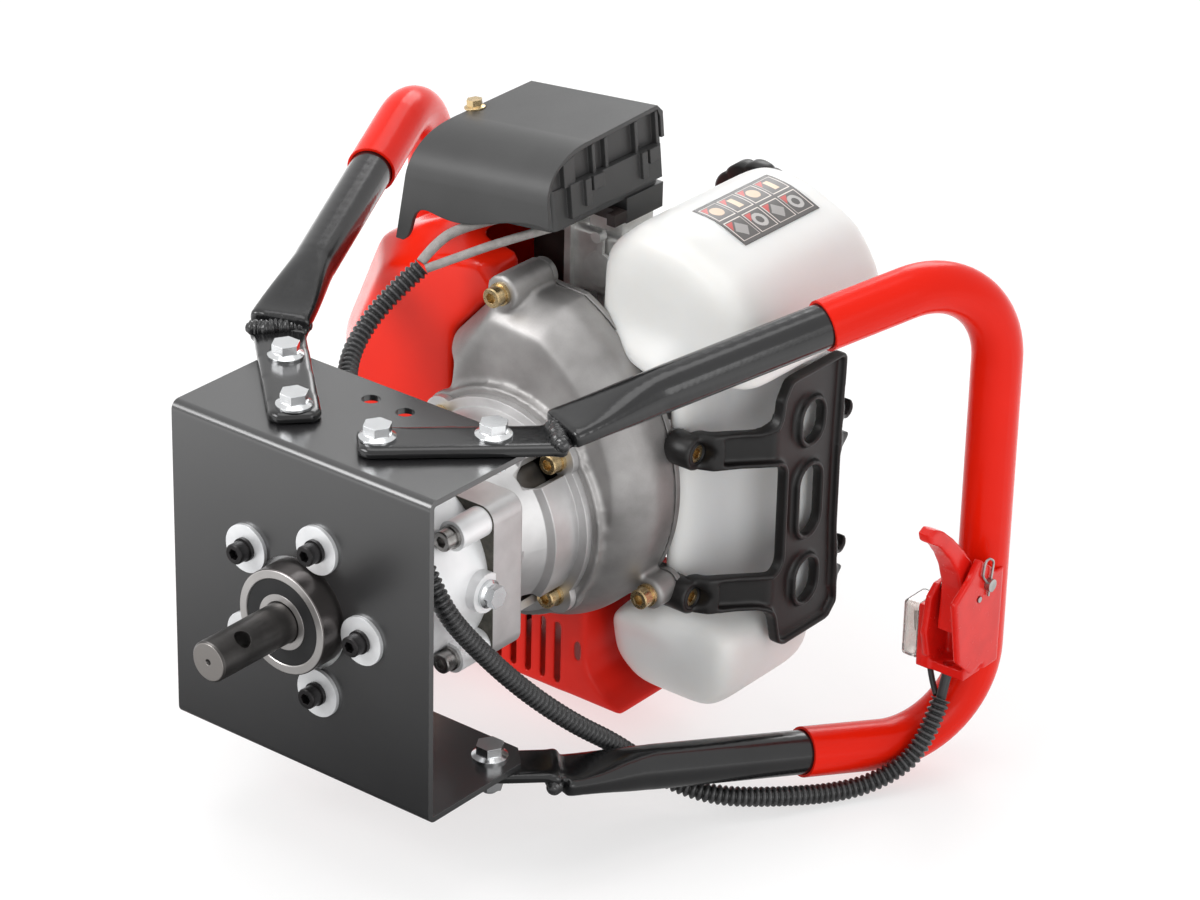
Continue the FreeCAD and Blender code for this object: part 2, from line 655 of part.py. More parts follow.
def rear_housing():
    """Rear half of the gearbox and clutch bell in one casting."""
    solid = case_outline("case_joint", "case_rear - case_joint - 12")
    solid = solid.fuse(rounded_block("case_half_wide", "case_half_tall", "case_corner", "case_rear - 12", 12))
    neck, bell = size("neck_radius"), size("bell_radius")
    bell_front, back = size("bell_front"), size("flange_front + flange_thick")
    profile = [(0, size("case_rear") - 2), (neck, size("case_rear") - 2), (neck + 1, size("case_rear") + 2),
               (bell - 4, bell_front), (bell, bell_front + 2), (bell, back), (0, back)]
    wire = Part.makePolygon([V(x, y, 0) for x, y in profile + profile[:1]])
    solid = solid.fuse(Part.Face(wire).revolve(V(), V(0, 1, 0), 360))
    solid = solid.fuse(lobes("flange_front", "flange_thick", "flange_radius", "lobe_radius"))
    rib = Part.Face(Part.makePolygon([V(neck - 2, size("case_rear") - 1, -1.5), V(bell, size("case_rear") - 1, -1.5),
                                      V(neck + 2, bell_front - 6, -1.5), V(neck - 2, size("case_rear") - 1, -1.5)]))
    ribs = [moved(rib.extrude(V(0, 0, 3)), (0, 0, 0), (0, 1, 0), turn) for turn in (0, 180)]
    solid = solid.multiFuse(ribs)
    inner = bell - size("bell_wall")
    hollow = [(0, 114), (neck - 5, 114), (inner, bell_front + 2), (inner, back), (0, back)]
    wire = Part.makePolygon([V(x, y, 0) for x, y in hollow + hollow[:1]])
    solid = solid.cut(Part.Face(wire).revolve(V(), V(0, 1, 0), 360))
    solid = solid.cut(cylinder("4 + running_gap", 9, (0, "case_joint", -axis_gap()), (0, 1, 0)))
    solid = solid.cut(cylinder(16, 60, (0, "case_joint", 0), (0, 1, 0)))
    for boss in case_bosses("case_joint", 14, "screw_shank/2 + 0.2"):
        solid = solid.cut(boss)
    for x, z in lobe_spots():
        solid = solid.cut(cylinder("screw_hole/2", 20, (x, "flange_front - 6", z), (0, 1, 0)))
        solid = solid.cut(cylinder("lobe_radius - 2", "flange_front - bell_front + 4",
                                   (x, "bell_front - 4", z), (0, 1, 0)))
    item = doc.addObject("Part::Feature", "gearbox_rear_housing")
    item.Shape = solid.removeSplitter()
    node(item, "gearbox_rear_housing")


def case_fasteners():
    """Bright socket screws and washers of the gearbox, and the oil plug."""
    screw = socket_screw("case_screw", "case_joint - case_boss_front + 12")
    seat = "case_boss_front - spring_washer_thick"
    solids = []
    for x in (CASE_BOLT_X, "-" + CASE_BOLT_X):
        for z in ("case_bolt_z", "-case_bolt_z"):
            solids.append(moved(screw.Shape, (x, seat, z)))
            solids.append(ring("spring_washer/2", "screw_shank/2 + 0.2", seat, "spring_washer_thick", (x, 0, z)))
    group("case_screws", solids)
    plug = Body("oil_plug")
    plug.turn([(0, 0), ("plug_flange/2", 0), ("plug_flange/2", 1.5), ("plug_hex/2 + 0.4", 2.6), (0, 2.6)])
    plug.pad("XZ", 2, 5, hexagon("plug_hex"))
    plug.turn([(0, -7), ("plug_hex/2 - 0.6", -7), ("plug_hex/2 - 0.6", 0.5), (0, 0.5)])
    place(plug.body, ("case_half_wide + 2", "plug_place", 0), (0, 0, 1), -90)
    node(plug.body, "oil_plug")


def gear_plane(number):
    """Front of the gear plane: 0 is the output gear's, 3 the input pinion's."""
    return "gear_start + %d*(gear_width + gear_space)" % number


def cluster(label, wheel_plane, pinion_plane, on_layshaft, bore):
    """Wheel and pinion cut on one hub."""
    part = Body(label)
    wheel = "gear_module*(wheel_teeth/2 - 1.25)"
    pinion = "gear_module*(pinion_teeth/2 - 1.25)"
    low, high = gear_plane(pinion_plane), gear_plane(wheel_plane)
    part.turn([(bore, low), (pinion, low), (pinion, high), (wheel, high),
               (wheel, high + " + gear_width"), (bore, high + " + gear_width")])
    half = "180/%s"
    teeth(part, "wheel_teeth", high, half % "wheel_teeth" if on_layshaft else 180)
    teeth(part, "pinion_teeth", low, half % "pinion_teeth" if on_layshaft else 180)
    if on_layshaft:
        place(part.body, (0, 0, "-gear_module*(wheel_teeth + pinion_teeth)/2"))
    return node(part.body, label)


def gears():
    """Spur train in four steps between two axes, with the input on the output's axis."""
    cluster("gear_cluster_3", 1, 0, True, "4 + running_gap")
    cluster("gear_cluster_2", 2, 1, False, "input_shaft/2 + running_gap")
    cluster("gear_cluster_1", 3, 2, True, "4 + running_gap")
    pin = Body("layshaft")
    end = "case_joint + 8"
    pin.turn([(0, "gear_start - 6"), (4, "gear_start - 6"), (4, end), (0, end)])
    place(pin.body, (0, 0, "-gear_module*(wheel_teeth + pinion_teeth)/2"))
    node(pin.body, "layshaft")
    part = Body("input_pinion_shaft")
    front = gear_plane(1) + " + 0.4"
    stub = "input_shaft/2"
    pinion = "gear_module*(pinion_teeth/2 - 1.25)"
    part.turn([(0, front), (stub, front), (stub, gear_plane(3)), (pinion, gear_plane(3)),
               (pinion, gear_plane(4) + " - gear_space"), (stub, gear_plane(4) + " - gear_space"),
               (stub, "drum_front + 8"), (0, "drum_front + 8")])
    teeth(part, "pinion_teeth", gear_plane(3), 180)
    node(part.body, "input_pinion_shaft")


def plain_bearing(bore, start, length, outer):
    return ring(outer, "%s + running_gap" % bore, start, length)


def inner_bearings():
    """Bearings that nothing shows: two on the input shaft, two on the crankshaft."""
    group("inner_bearings", [
        plain_bearing("input_shaft/2", "case_joint", 9, 16),
        plain_bearing("input_shaft/2", "case_joint + 13", 9, 16),
        plain_bearing("journal/2", "crank_front - 9", 9, 17.5),
        plain_bearing("journal/2", "crank_back", 9, 17.5)])


def clutch():
    """Centrifugal clutch: drum on the input shaft, two shoes on the flywheel's hub."""
    drum = Body("clutch_drum")
    back = "drum_front + drum_long"
    outer, inner = "drum_bore/2 + drum_wall", "drum_bore/2"
    drum.turn([("input_shaft/2", "drum_front - 6"), ("input_shaft/2 + 5", "drum_front - 6"),
               ("input_shaft/2 + 6", "drum_front"), (outer + " - 3", "drum_front"),
               (outer, "drum_front + 3"), (outer, back), (inner, back),
               (inner, "drum_front + drum_wall + 2"), (inner + " - 2", "drum_front + drum_wall"),
               ("input_shaft/2 + 6", "drum_front + drum_wall"), ("input_shaft/2 + 6", "drum_front + 8"),
               ("input_shaft/2", "drum_front + 8")])
    node(drum.body, "clutch_drum")
    start = "(hub_front - gap - shoe_width)"
    half = size("shoe_slot/2")
    pivot = size("shoe_pivot")
    screws = []
    for number, side in ((1, 1), (2, -1)):
        shoe = ring("shoe_outer/2", "shoe_inner/2", start, "shoe_width")
        keep = block((half if side > 0 else -60, 0, -60), (60 if side > 0 else -half, 200, 60))
        shoe = shoe.common(keep)
        x = side * pivot * math.cos(math.radians(64))
        z = side * pivot * math.sin(math.radians(64))
        shoe = shoe.cut(cylinder("shoe_screw/2 + running_gap", 60, (x, 120, z), (0, 1, 0)))
        shank = cylinder("shoe_screw/2", "shoe_width + gap", (x, start, z), (0, 1, 0))
        screws.append(shank.fuse(cylinder("shoe_screw/2 + 2", 3, (x, start + " - 3.3", z), (0, 1, 0))))
        item = doc.addObject("Part::Feature", "clutch_shoe_%d" % number)
        item.Shape = shoe
        node(item, "clutch_shoe_%d" % number)
    group("clutch_shoe_screws", screws)


def flywheel():
    """Flywheel with fan blades in front and a clutch hub on its nose."""
    part = Body("flywheel")
    part.turn([("journal/2", "hub_front"), ("hub_radius", "hub_front"), ("hub_radius", "wheel_front"),
               ("wheel_radius - 6", "wheel_front"), ("wheel_radius - 6", "wheel_back - 12"),
               ("wheel_radius", "wheel_back - 12"), ("wheel_radius", "wheel_back"),
               ("hub_radius - 14", "wheel_back"), ("hub_radius - 14", "wheel_back + 4"),
               ("journal/2", "wheel_back + 4")])
    blade = part.pad("XZ", "wheel_front - blade_tall", "blade_tall + 0.5", [
        ("-blade_wall/2", "hub_radius + 2"), ("blade_wall/2", "hub_radius + 2"),
        ("blade_wall/2 + 4", "wheel_radius - 10.5"), ("-blade_wall/2 + 4", "wheel_radius - 10.5")])
    part.around(blade, "blades")
    return node(part.body, "flywheel")


def scroll(inset, height):
    """Outline of the fan housing: a spiral from its tightest point below round the tank side
    to the top, closed by straight walls on the cylinder's side. Inset moves it inwards."""
    low, top, side = size("fan_low") - inset, size("fan_top") - inset, size("fan_side") - inset
    points = []
    for step in range(9):
        share = step / 8
        turn = math.radians(-118 + 198 * share)
        reach = low + (top - low) * (0.12 * share + 0.88 * share ** 3.2)
        points.append(V(reach * math.cos(turn), height, reach * math.sin(turn)))
    curve = Part.BSplineCurve()
    curve.interpolate(points)
    last, first = points[-1], points[0]
    corners = [last, V(-16, height, last.z + 2), V(-side, height, 0.63 * top + 2),
               V(-side, height, -0.62 * low), first]
    return Part.Wire([curve.toShape()] + [Part.makeLine(a, b) for a, b in zip(corners, corners[1:])])


def fan_housing():
    """Cast scroll round the flywheel fan, with the clutch bell's mating flange in front."""
    front = size("flange_front + flange_thick + mate_thick")
    rear = size("fan_back")
    shoulder = size("fan_shoulder")
    mid = front + 15
    outer = Part.makeLoft([scroll(shoulder, front), scroll(3, mid - 3), scroll(0, mid + 3)], True, False, False)
    outer = outer.fuse(Part.Face(scroll(0, mid + 3)).extrude(V(0, rear - mid - 3, 0)))
    wall = size("fan_wall")
    inner = Part.makeLoft([scroll(shoulder + wall, front + 3), scroll(wall + 3, mid), scroll(wall, mid + 4)],
                          True, False, False)
    inner = inner.fuse(Part.Face(scroll(wall, mid + 4)).extrude(V(0, rear - mid - 3, 0)))
    solid = outer.fuse(lobes("flange_front + flange_thick", "mate_thick + 1", "mate_radius", "lobe_radius + 1"))
    boss = cylinder(9, 30, (-9, size("fan_back") - 30, size("fan_top") + 1), (0, 1, 0))
    low_boss = cylinder(8, 14, (71.5, size("fan_back") - 14, -35), (0, 1, 0))
    low_web = block((50, size("fan_back") - 12, -40), (71.5, "fan_back", -28))
    solid = solid.multiFuse([boss, low_boss, low_web])
    solid = solid.cut(inner)
    solid = solid.cut(cylinder(44, 12, (0, "flange_front + 2", 0), (0, 1, 0)))
    solid = solid.cut(block((-70, front + 3, -30), (-32.5, "fan_back + 1", 60)))
    for x, z in lobe_spots():
        solid = solid.cut(cylinder("screw_shank/2 + 0.2", 6, (x, "flange_front + flange_thick", z), (0, 1, 0)))
    solid = solid.cut(cylinder("screw_head/2 + 0.4", 20, ("guard_boss_x - 7.1", "guard_boss_y", "-guard_boss_z"),
                               (1, 0, 0)))
    item = doc.addObject("Part::Feature", "fan_housing")
    item.Shape = solid
    node(item, "fan_housing")


def housing_screws():
    """Yellow zinc socket screws with washers: four on the clutch bell, two on the fan
    housing's rim, two in the tank guard's feet."""
    screw = socket_screw("housing_screw", 7)
    solids = []
    seat = "flange_front - spring_washer_thick"
    for x, z in lobe_spots():
        solids.append(moved(screw.Shape, (x, seat, z)))
        solids.append(ring("spring_washer/2", "screw_shank/2 + 0.2", seat, "spring_washer_thick", (x, 0, z)))
    for x, y, z in ((-9, size("fan_back") - 30, size("fan_top") + 1), (71.5, size("fan_back") - 14, -35)):
        head = moved(screw.Shape, (x, y - size("spring_washer_thick"), z))
        solids.append(head.cut(cylinder(8, 40, (x, y, z), (0, 1, 0))))
        solids.append(ring("spring_washer/2", "screw_shank/2 + 0.2", y - size("spring_washer_thick"),
                           "spring_washer_thick", (x, 0, z)))
    for side in (1, -1):
        spot = V(size("guard_boss_x") - 7, size("guard_boss_y"), side * size("guard_boss_z"))
        solids.append(moved(screw.Shape, spot, (0, 0, 1), 90))
    group("housing_screws", solids)


def crankshaft():
    """Two webs on plain journals, with the crank pin between them."""
    web = size("crank_web")
    pin = size("crank_throw")
    front = size("hub_front")
    solid = cylinder("journal/2 - running_gap", 212 - front, (0, front, 0), (0, 1, 0))
    solid = solid.fuse(cylinder("journal/2", 26.5, (0, 244, 0), (0, 1, 0)))
    for start in (212, 236):
        solid = solid.fuse(cylinder(web, 8, (0, start, 0), (0, 1, 0)))
    solid = solid.fuse(cylinder(6, 18, (-pin, 219, 0), (0, 1, 0)))
    item = doc.addObject("Part::Feature", "crankshaft")
    item.Shape = solid.removeSplitter()
    node(item, "crankshaft")


def crankcase():
    """Crank chamber with the fan housing's back plate, cylinder seat and inlet seat."""
    start, back = size("fan_back"), size("block_back")
    radius = size("block_radius")
    plate = Part.Face(scroll(0, start)).extrude(V(0, 3, 0))
    solid = plate.fuse(cylinder(radius, back - start, (0, start, 0), (0, 1, 0)))
    solid = solid.fuse(block((-46, 205, -32), (0, 251, 32)))
    solid = solid.fuse(block((-42, 230, 20), (-2, back, radius)))
    for z in (1, -1):
        lug = block((30, start + 3, z * size("guard_boss_z") - 7.5),
                    ("guard_boss_x - 13", start + 11, z * size("guard_boss_z") + 7.5))
        solid = solid.fuse(lug)
    for x, z in ((-9, size("fan_top") + 1), (71.5, -35)):
        solid = solid.fuse(cylinder(8, 3, (x, start, z), (0, 1, 0)))
    solid = solid.cut(cylinder(34, "crank_back - crank_front", (0, "crank_front", 0), (0, 1, 0)))
    solid = solid.cut(cylinder(17.6, back - start + 2, (0, start - 1, 0), (0, 1, 0)))
    solid = solid.cut(cylinder(24, 40, (-60, "cylinder_y", 0), (1, 0, 0)))
    solid = solid.cut(cylinder(9, 40, (-22, 246, 20), (0, 0, 1)))
    for z in (1, -1):
        solid = solid.cut(cylinder("screw_shank/2 + 0.2", 24, ("guard_boss_x - 22", "guard_boss_y",
                                                             z * size("guard_boss_z")), (1, 0, 0)))
        solid = solid.cut(cylinder("screw_head/2 + 0.4", 20, ("guard_boss_x - 7.1", "guard_boss_y",
                                                             z * size("guard_boss_z")), (1, 0, 0)))
    item = doc.addObject("Part::Feature", "crankcase")
    item.Shape = solid.removeSplitter()
    node(item, "crankcase")


def engine_cylinder():
    """Finned barrel lying along X, with its exhaust duct pointing down."""
    y = size("cylinder_y")
    core, half = size("cylinder_core"), size("fin_half")
    solid = cylinder(core, 78, (-124, y, 0), (1, 0, 0))
    solid = solid.fuse(block((-50, y - 24, -33), (-46, y + 24, 33)))
    for number in range(int(size("fins"))):
        x = -130 + number * size("fin_pitch")
        fin = block((x, y - half, -half), (x + size("fin_wall"), y + half, half))
        solid = solid.fuse(fin)
    solid = solid.common(cowl_room(1).fuse(block((-60, 180, -60), (-40, 280, 60))))
    solid = solid.cut(cylinder("wheel_radius + 14", 8, (0, 185, 0), (0, 1, 0)))
    solid = solid.cut(cylinder("starter_radius + 1.5", 14, (0, "block_back - 1", 0), (0, 1, 0)))
    solid = solid.fuse(block((-98, y - 15, -60), (-72, y + 15, -20)))
    solid = solid.fuse(cylinder(11, 12, (-133, y, 0), (1, 0, 0)))
    solid = solid.cut(cylinder(22, 62, (-46, y, 0), (-1, 0, 0)))
    solid = solid.cut(cylinder(8, 42, (-85, y, -62), (0, 0, 1)))
    solid = solid.cut(cylinder(5.2, 30, (-134, y, 0), (1, 0, 0)))
    item = doc.addObject("Part::Feature", "cylinder")
    item.Shape = solid.removeSplitter()
    node(item, "cylinder")


def ignition():
    """Spark plug with its cap in the head, and the coil above the flywheel."""
    plug = Body("spark_plug")
    plug.turn([(0, -22), (5, -22), (5, 0), (7, 0), (7, 2), (5.5, 2), (5.5, 9), (3.4, 11), (3.4, 19), (2, 20), (0, 20)])
    plug.pad("XZ", 2, 6, hexagon(14))
    place(plug.body, (-133, "cylinder_y", 0), (0, 0, 1), 90)
    node(plug.body, "spark_plug")
    cap = Body("spark_plug_cap")
    cap.turn([(3.7, 0), (6.5, 0), (6.5, 14), (0, 14), (0, 9.3), (3.7, 9.3)])
    cap.pad("XY", 0, 16, circles=[(0, 9, 4.4)])
    cap.groove([(0, -1), (3.7, -1), (3.7, 9.3), (0, 9.3)])
    place(cap.body, ("-133 - 11", "cylinder_y", 0), (0, 0, 1), 90)
    node(cap.body, "spark_plug_cap")
    near, far = size("wheel_radius") + 0.6, size("wheel_radius") + 40
    legs = [block((near, 178, side - 4), (far, 188, side + 4)) for side in (-13, 13)]
    coil = block((far - 17, 177, -11), (far - 2, 191, 11))
    posts = [cylinder(4, 10, (far - 6, 187, side), (0, 1, 0)) for side in (-13, 13)]
    solid = legs[0].multiFuse([legs[1], coil, block((far - 8, 178, -17), (far, 188, 17))] + posts)
    solid = moved(solid.removeSplitter(), (0, 0, 0), (0, 1, 0), -95)
    item = doc.addObject("Part::Feature", "ignition_coil")
    item.Shape = solid.common(block((-100, 150, -100), (100, "fan_back", 200)))
    node(item, "ignition_coil")


def inset(corners, wall):
    """Corners of a polygon whose sides are moved inwards; the corners run clockwise in X and Z."""
    lines = []
    for (x0, z0), (x1, z1) in zip(corners, corners[1:] + corners[:1]):
        length = math.hypot(x1 - x0, z1 - z0)
        nx, nz = (z1 - z0) / length, -(x1 - x0) / length
        lines.append((nx, nz, nx * x0 + nz * z0 + wall))
    points = []
    for (a, b, c), (d, e, f) in zip(lines[-1:] + lines[:-1], lines):
        bottom = a * e - b * d
        points.append(((c * e - b * f) / bottom, (a * f - c * d) / bottom))
    return points


def outline_wire(corners, y):
    return Part.makePolygon([V(x, y, z) for x, z in corners + corners[:1]])


COWL_FRONT = [(-50.3, -58), (-108, -58), (-122, -28), (-118, 40), (-96, 88), (-62, 104), (-34, 110), (-23, 97),
              (-50.3, 67.8)]
COWL_WIDE = [(-50.3, -58), (-128, -58), (-146, -36), (-144, 34), (-120, 90), (-62, 120), (-20, 114), (-21, 99),
             (-50.3, 67.8)]
COWL_PLACES = (180, 207, 276)


def cowl_room(gap):
    """Space inside the engine cowl, kept off its walls by a gap."""
    start, step, end = COWL_PLACES
    off = size("cowl_wall") + gap
    room = Part.makeLoft([outline_wire(inset(COWL_FRONT, off), start + off), outline_wire(inset(COWL_WIDE, off), step)],
                         True, True)
    return room.fuse(prism("XZ", inset(COWL_WIDE, off), step, end - off))


def housing_room(gap):
    """Space that the fan housing and the crankcase's plate fill, with its ear, grown by a gap."""
    space = Part.Face(scroll(-gap, size("flange_front"))).extrude(V(0, size("fan_back") + 3.3 - size("flange_front"), 0))
    return space.fuse(cylinder(9 + gap, 34, (-9, size("fan_back") - 31, size("fan_top") + 1), (0, 1, 0)))


def shroud():
    """Red cowl over the cylinder: closed in front, on top, at the end and below."""
    start, step, end = COWL_PLACES
    wall = size("cowl_wall")
    outer = Part.makeLoft([outline_wire(COWL_FRONT, start), outline_wire(COWL_WIDE, step)], True, True)
    outer = outer.fuse(prism("XZ", COWL_WIDE, step, end))
    solid = outer.cut(cowl_room(0)).cut(housing_room(0.3))
    solid = solid.cut(cylinder("starter_radius + 0.8", 40, (0, "block_back - 1", 0), (0, 1, 0)))
    solid = solid.cut(block((-56, 186, -50), (-40, end - wall, 66)))
    solid = solid.cut(block((-46, 199.3, 66), (-10, end - wall, 116)))
    solid = solid.cut(block((-104, 210, -62), (-66, 246, -50)))
    solid = solid.cut(block((-160, 217, -11), (-140, 239, 11)))
    for number in range(6):
        solid = solid.cut(block((-128 + 12 * number, 270, -34), (-122 + 12 * number, 280, 34)))
    item = doc.addObject("Part::Feature", "cylinder_shroud")
    item.Shape = solid.removeSplitter()
    node(item, "cylinder_shroud")


def muffler():
    """Silencer box under the cylinder, and the red guard round it."""
    box = rounded_box((-106, 206, -104), (-30, 256, -64), 7)
    collar = block((-98, 213, -66), (-72, 243, -60))
    outlet = cylinder(6, 8, (-60, 254, -84), (0, 1, 0)).cut(cylinder(5, 10, (-60, 253, -84), (0, 1, 0)))
    item = doc.addObject("Part::Feature", "muffler")
    solid = box.fuse(collar).cut(rounded_box((-103, 209, -101), (-33, 253, -67), 5))
    solid = solid.cut(cylinder(8, 14, (-85, 228, -72), (0, 0, 1))).fuse(outlet)
    item.Shape = solid.cut(cylinder(5, 12, (-60, 252, -84), (0, 1, 0)))
    node(item, "muffler")
    corners = [(24.5, -63), (24.5, -92), (28, -102), (36, -110), (47, -115), (47, -118), (-98, -118), (-114, -100),
               (-114, -63)]
    front, back, wall = 192.5, 262, 2
    outer = prism("XZ", corners, front, back)
    edges = [edge for edge in outer.Edges if abs(middle(edge).y - front) < 0.1 and abs(middle(edge).z + 118) < 0.1]
    outer = outer.makeFillet(5, edges)
    hollow = [(22.5, -63), (22.5, -92.5), (26.2, -103.3), (35, -112.1), (38, -116), (-97, -116), (-112, -99.2),
              (-112, -63)]
    solid = outer.cut(prism("XZ", hollow, front + wall, back - wall))
    solid = solid.cut(block((-112, 199.3, -70), (22.5, 260, -60)))
    for number in range(8):
        x = -60 + 9.4 * number
        solid = solid.cut(block((x, 190, -112), (x + 3.6, 198, -78)))
    for number in range(6):
        x = -100 + 14 * number
        solid = solid.cut(block((x, 258, -106), (x + 7, 264, -76)))
    solid = solid.cut(block((19, 190, -95), (21.5, 196, -85)))
    solid = solid.cut(housing_room(0.5)).cut(cylinder(6.8, 8, (-60, 257, -84), (0, 1, 0)))
    item = doc.addObject("Part::Feature", "muffler_guard")
    item.Shape = solid.removeSplitter()
    node(item, "muffler_guard")


def rounded_box(low, high, radius, axis=None):
    """Box with its edges rounded: all of them, or those along one axis."""
    solid = block(low, high)
    edges = solid.Edges if axis is None else [edge for edge in solid.Edges if along(edge, V(*axis))]
    return solid.makeFillet(size(radius), edges)


def intake():
    """Inlet block on the crankcase, carburettor on its side, and the throttle's lever."""
    solid = rounded_box((-42, 231, 43), (-20, 259, 112), 3, (0, 1, 0))
    solid = solid.fuse(block((-46, 229, 43), (-16, 261, 48)))
    solid = solid.fuse(block((-42, 236, 90), (-20, 254, 112)))
    for z in (60, 76):
        solid = solid.cut(block((-37, 229, z), (-26, 232.5, z + 9)))
    solid = solid.cut(cylinder(8, 60, (-31, 246, 42), (0, 0, 1)))
    solid = solid.cut(cylinder(8, 30, (-31, 246, 100), (1, 0, 0)))
    item = doc.addObject("Part::Feature", "intake_insulator")
    item.Shape = solid.removeSplitter()
    node(item, "intake_insulator")
    plate = rounded_box((-20, 227, 80), (-16, 264, 122), 5, (1, 0, 0))
    plate = plate.cut(cylinder(8, 10, (-22, 246, 100), (1, 0, 0)))
    body = rounded_box((-16, 230, 84), (14, 261, 118), 3, (1, 0, 0))
    body = body.fuse(block((-10, 234, 116), (10, 258, 126)))
    body = body.fuse(cylinder(11, 20, (0, 246, 84), (0, 0, -1))).fuse(cylinder(4, 4, (14, 252, 94), (1, 0, 0)))
    for y, z in ((236, 90), (236, 112)):
        body = body.fuse(cylinder(4, 3, (14, y, z), (1, 0, 0)))
    body = body.cut(cylinder(8, 22, (-17, 246, 100), (1, 0, 0)))
    body = body.cut(cylinder(9, 40, (0, 246, 100), (0, 0, 1)))
    body = body.cut(cylinder("2.5 + running_gap", 8, (2, 229, 100), (0, 1, 0)))
    group("carburettor", [plate, body])
    lever = cylinder(2.5, 9, (2, 227.5, 100), (0, 1, 0)).fuse(cylinder(9, 2, (2, 226.5, 100), (0, 1, 0)))
    lever = lever.fuse(block((0, 226.5, 100), (4, 228.5, 121))).fuse(cylinder(3, 5, (2, 223.5, 118), (0, 1, 0)))
    item = doc.addObject("Part::Feature", "throttle_lever")
    item.Shape = lever.removeSplitter()
    node(item, "throttle_lever")


def tilted(shape):
    """Leans a shape of the air filter about its lower edge on the tank's side."""
    copy = shape.copy()
    copy.rotate(V(10, 0, 150), V(0, 1, 0), -size("filter_tilt"))
    return copy


def air_filter():
    """Filter tray with its ribbed side, neck and clips, element, and bent cover."""
    low, joint, top = size("filter_low"), size("filter_joint"), size("filter_top")
    left, right = -size("filter_left"), size("filter_right")
    front, back = size("filter_front") + 2, size("filter_back")
    wall = size("filter_wall")
    tray = rounded_box((left + 4, front + 4, low), (right, back - wall - 0.4, joint), 4, (0, 0, 1))
    tray = tray.cut(rounded_box((left + 7, front + 7, low + 3), (right - 3, back - 6, joint + 1), 3, (0, 0, 1)))
    tray = tray.fuse(block((right - 0.5, front + 15, low + 4), (right + 3, back - 4, joint + 1)))
    side_wall = Part.Face(cover_profile(front - 2, back, wall + 0.5)).extrude(V(2, 0, 0))
    side_wall.translate(V(right - 3, 0, 0))
    tray = tray.fuse(side_wall.common(block((right - 4, front + 3, joint - 1), (right, back - 4, top))))
    ribs = Part.Face(cover_profile(front - 2, back, wall + 0.5)).extrude(V(3.2, 0, 0))
    ribs.translate(V(right - 1.2, 0, 0))
    for start, end in ((12, 20), (33.5, 35.5), (43, 45), (66, 68), (82, 84)):
        rib = block((right - 2, front + start, joint), (right + 3, front + end, top))
        tray = tray.fuse(rib.common(ribs))
    for start in (24, 67):
        clip = block((right + 2, front + start, joint - 12), (right + 5, front + start + 4, joint + 1))
        tray = tray.fuse(clip).fuse(block((right + 2, front + start + 6, joint - 6),
                                          (right + 5, front + start + 14, joint + 1)))
    tray = tray.fuse(cylinder(5, 22, (left + 10, front + 39, low), (0, 0, 1)))
    tray = tilted(tray).fuse(block((-14, 232, 126), (14, 260, low + 1)))
    tray = tray.cut(cylinder(9, 40, (0, 246, 120), (0, 0, 1)))
    tray = tray.cut(cylinder("1.6 + running_gap", 8, (-4, 230, 132), (0, 1, 0)))
    item = doc.addObject("Part::Feature", "air_filter_base")
    item.Shape = tray.removeSplitter()
    node(item, "air_filter_base")
    foam = rounded_box((left + 16, front + 24, low + 4.6), (right - 6, back - 7, joint + 8), 3, (0, 0, 1))
    item = doc.addObject("Part::Feature", "air_filter_element")
    item.Shape = tilted(foam)
    node(item, "air_filter_element")
    shells = []
    for inset_by in (0, wall):
        long = right + 2.5 - left + 20
        shell = Part.Face(cover_profile(front - 2, back, inset_by)).extrude(V(long, 0, 0))
        shell.translate(V(left - 20, 0, 0))
        shell = tilted(shell)
        ends = [(left - 7.5 + inset_by, 105), (left + 3.8 + inset_by, 171.5 - inset_by), (right + 9, 181 - inset_by),
                (right + 9, 96), (left - 9 + inset_by, 96)]
        sides = prism("XZ", ends, front - 6, back + 4)
        corner = [edge for edge in sides.Edges if along(edge, V(0, 1, 0)) and middle(edge).z > 165
                  and middle(edge).x < 0]
        shells.append(shell.common(sides.makeFillet(12 - inset_by, corner)))
    solid = shells[0].cut(shells[1])
    solid = solid.cut(tilted(block((right - 0.5, front + 12, 100), (right + 4, back + 2, joint + 3.3))))
    solid = solid.cut(wavy_cut(left, right, front))
    solid = solid.cut(tilted(cylinder(5.4, 9, (left + 8, size("filter_front + 44"), 176.2), (0, 0, 1))))
    item = doc.addObject("Part::Feature", "air_filter_cover")
    item.Shape = solid.removeSplitter()
    node(item, "air_filter_cover")


def cover_profile(front, back, inset):
    """Side outline of the filter cover in Y and Z: upright front, round shoulder, rising top."""
    low = 100 if inset else 112
    points = [V(0, front + inset, low), V(0, front + inset, 152), V(0, front + 5 + inset * 0.8, 166),
              V(0, front + 16 + inset * 0.4, 173 - inset * 0.8), V(0, front + 34, 176 - inset),
              V(0, back - 4, 178 - inset), V(0, back - inset, 174 - inset), V(0, back - inset, 150)]
    first = Part.makeLine(points[0], points[1])
    curve = Part.BSplineCurve()
    curve.interpolate(points[1:5])
    rest = [Part.makeLine(a, b) for a, b in zip(points[4:], points[5:])]
    tail = [V(0, back - inset, low)] if inset else [V(0, back, low)]
    rest.append(Part.makeLine(points[-1], tail[0]))
    rest.append(Part.makeLine(tail[0], points[0]))
    return Part.Wire([first, curve.toShape()] + rest)


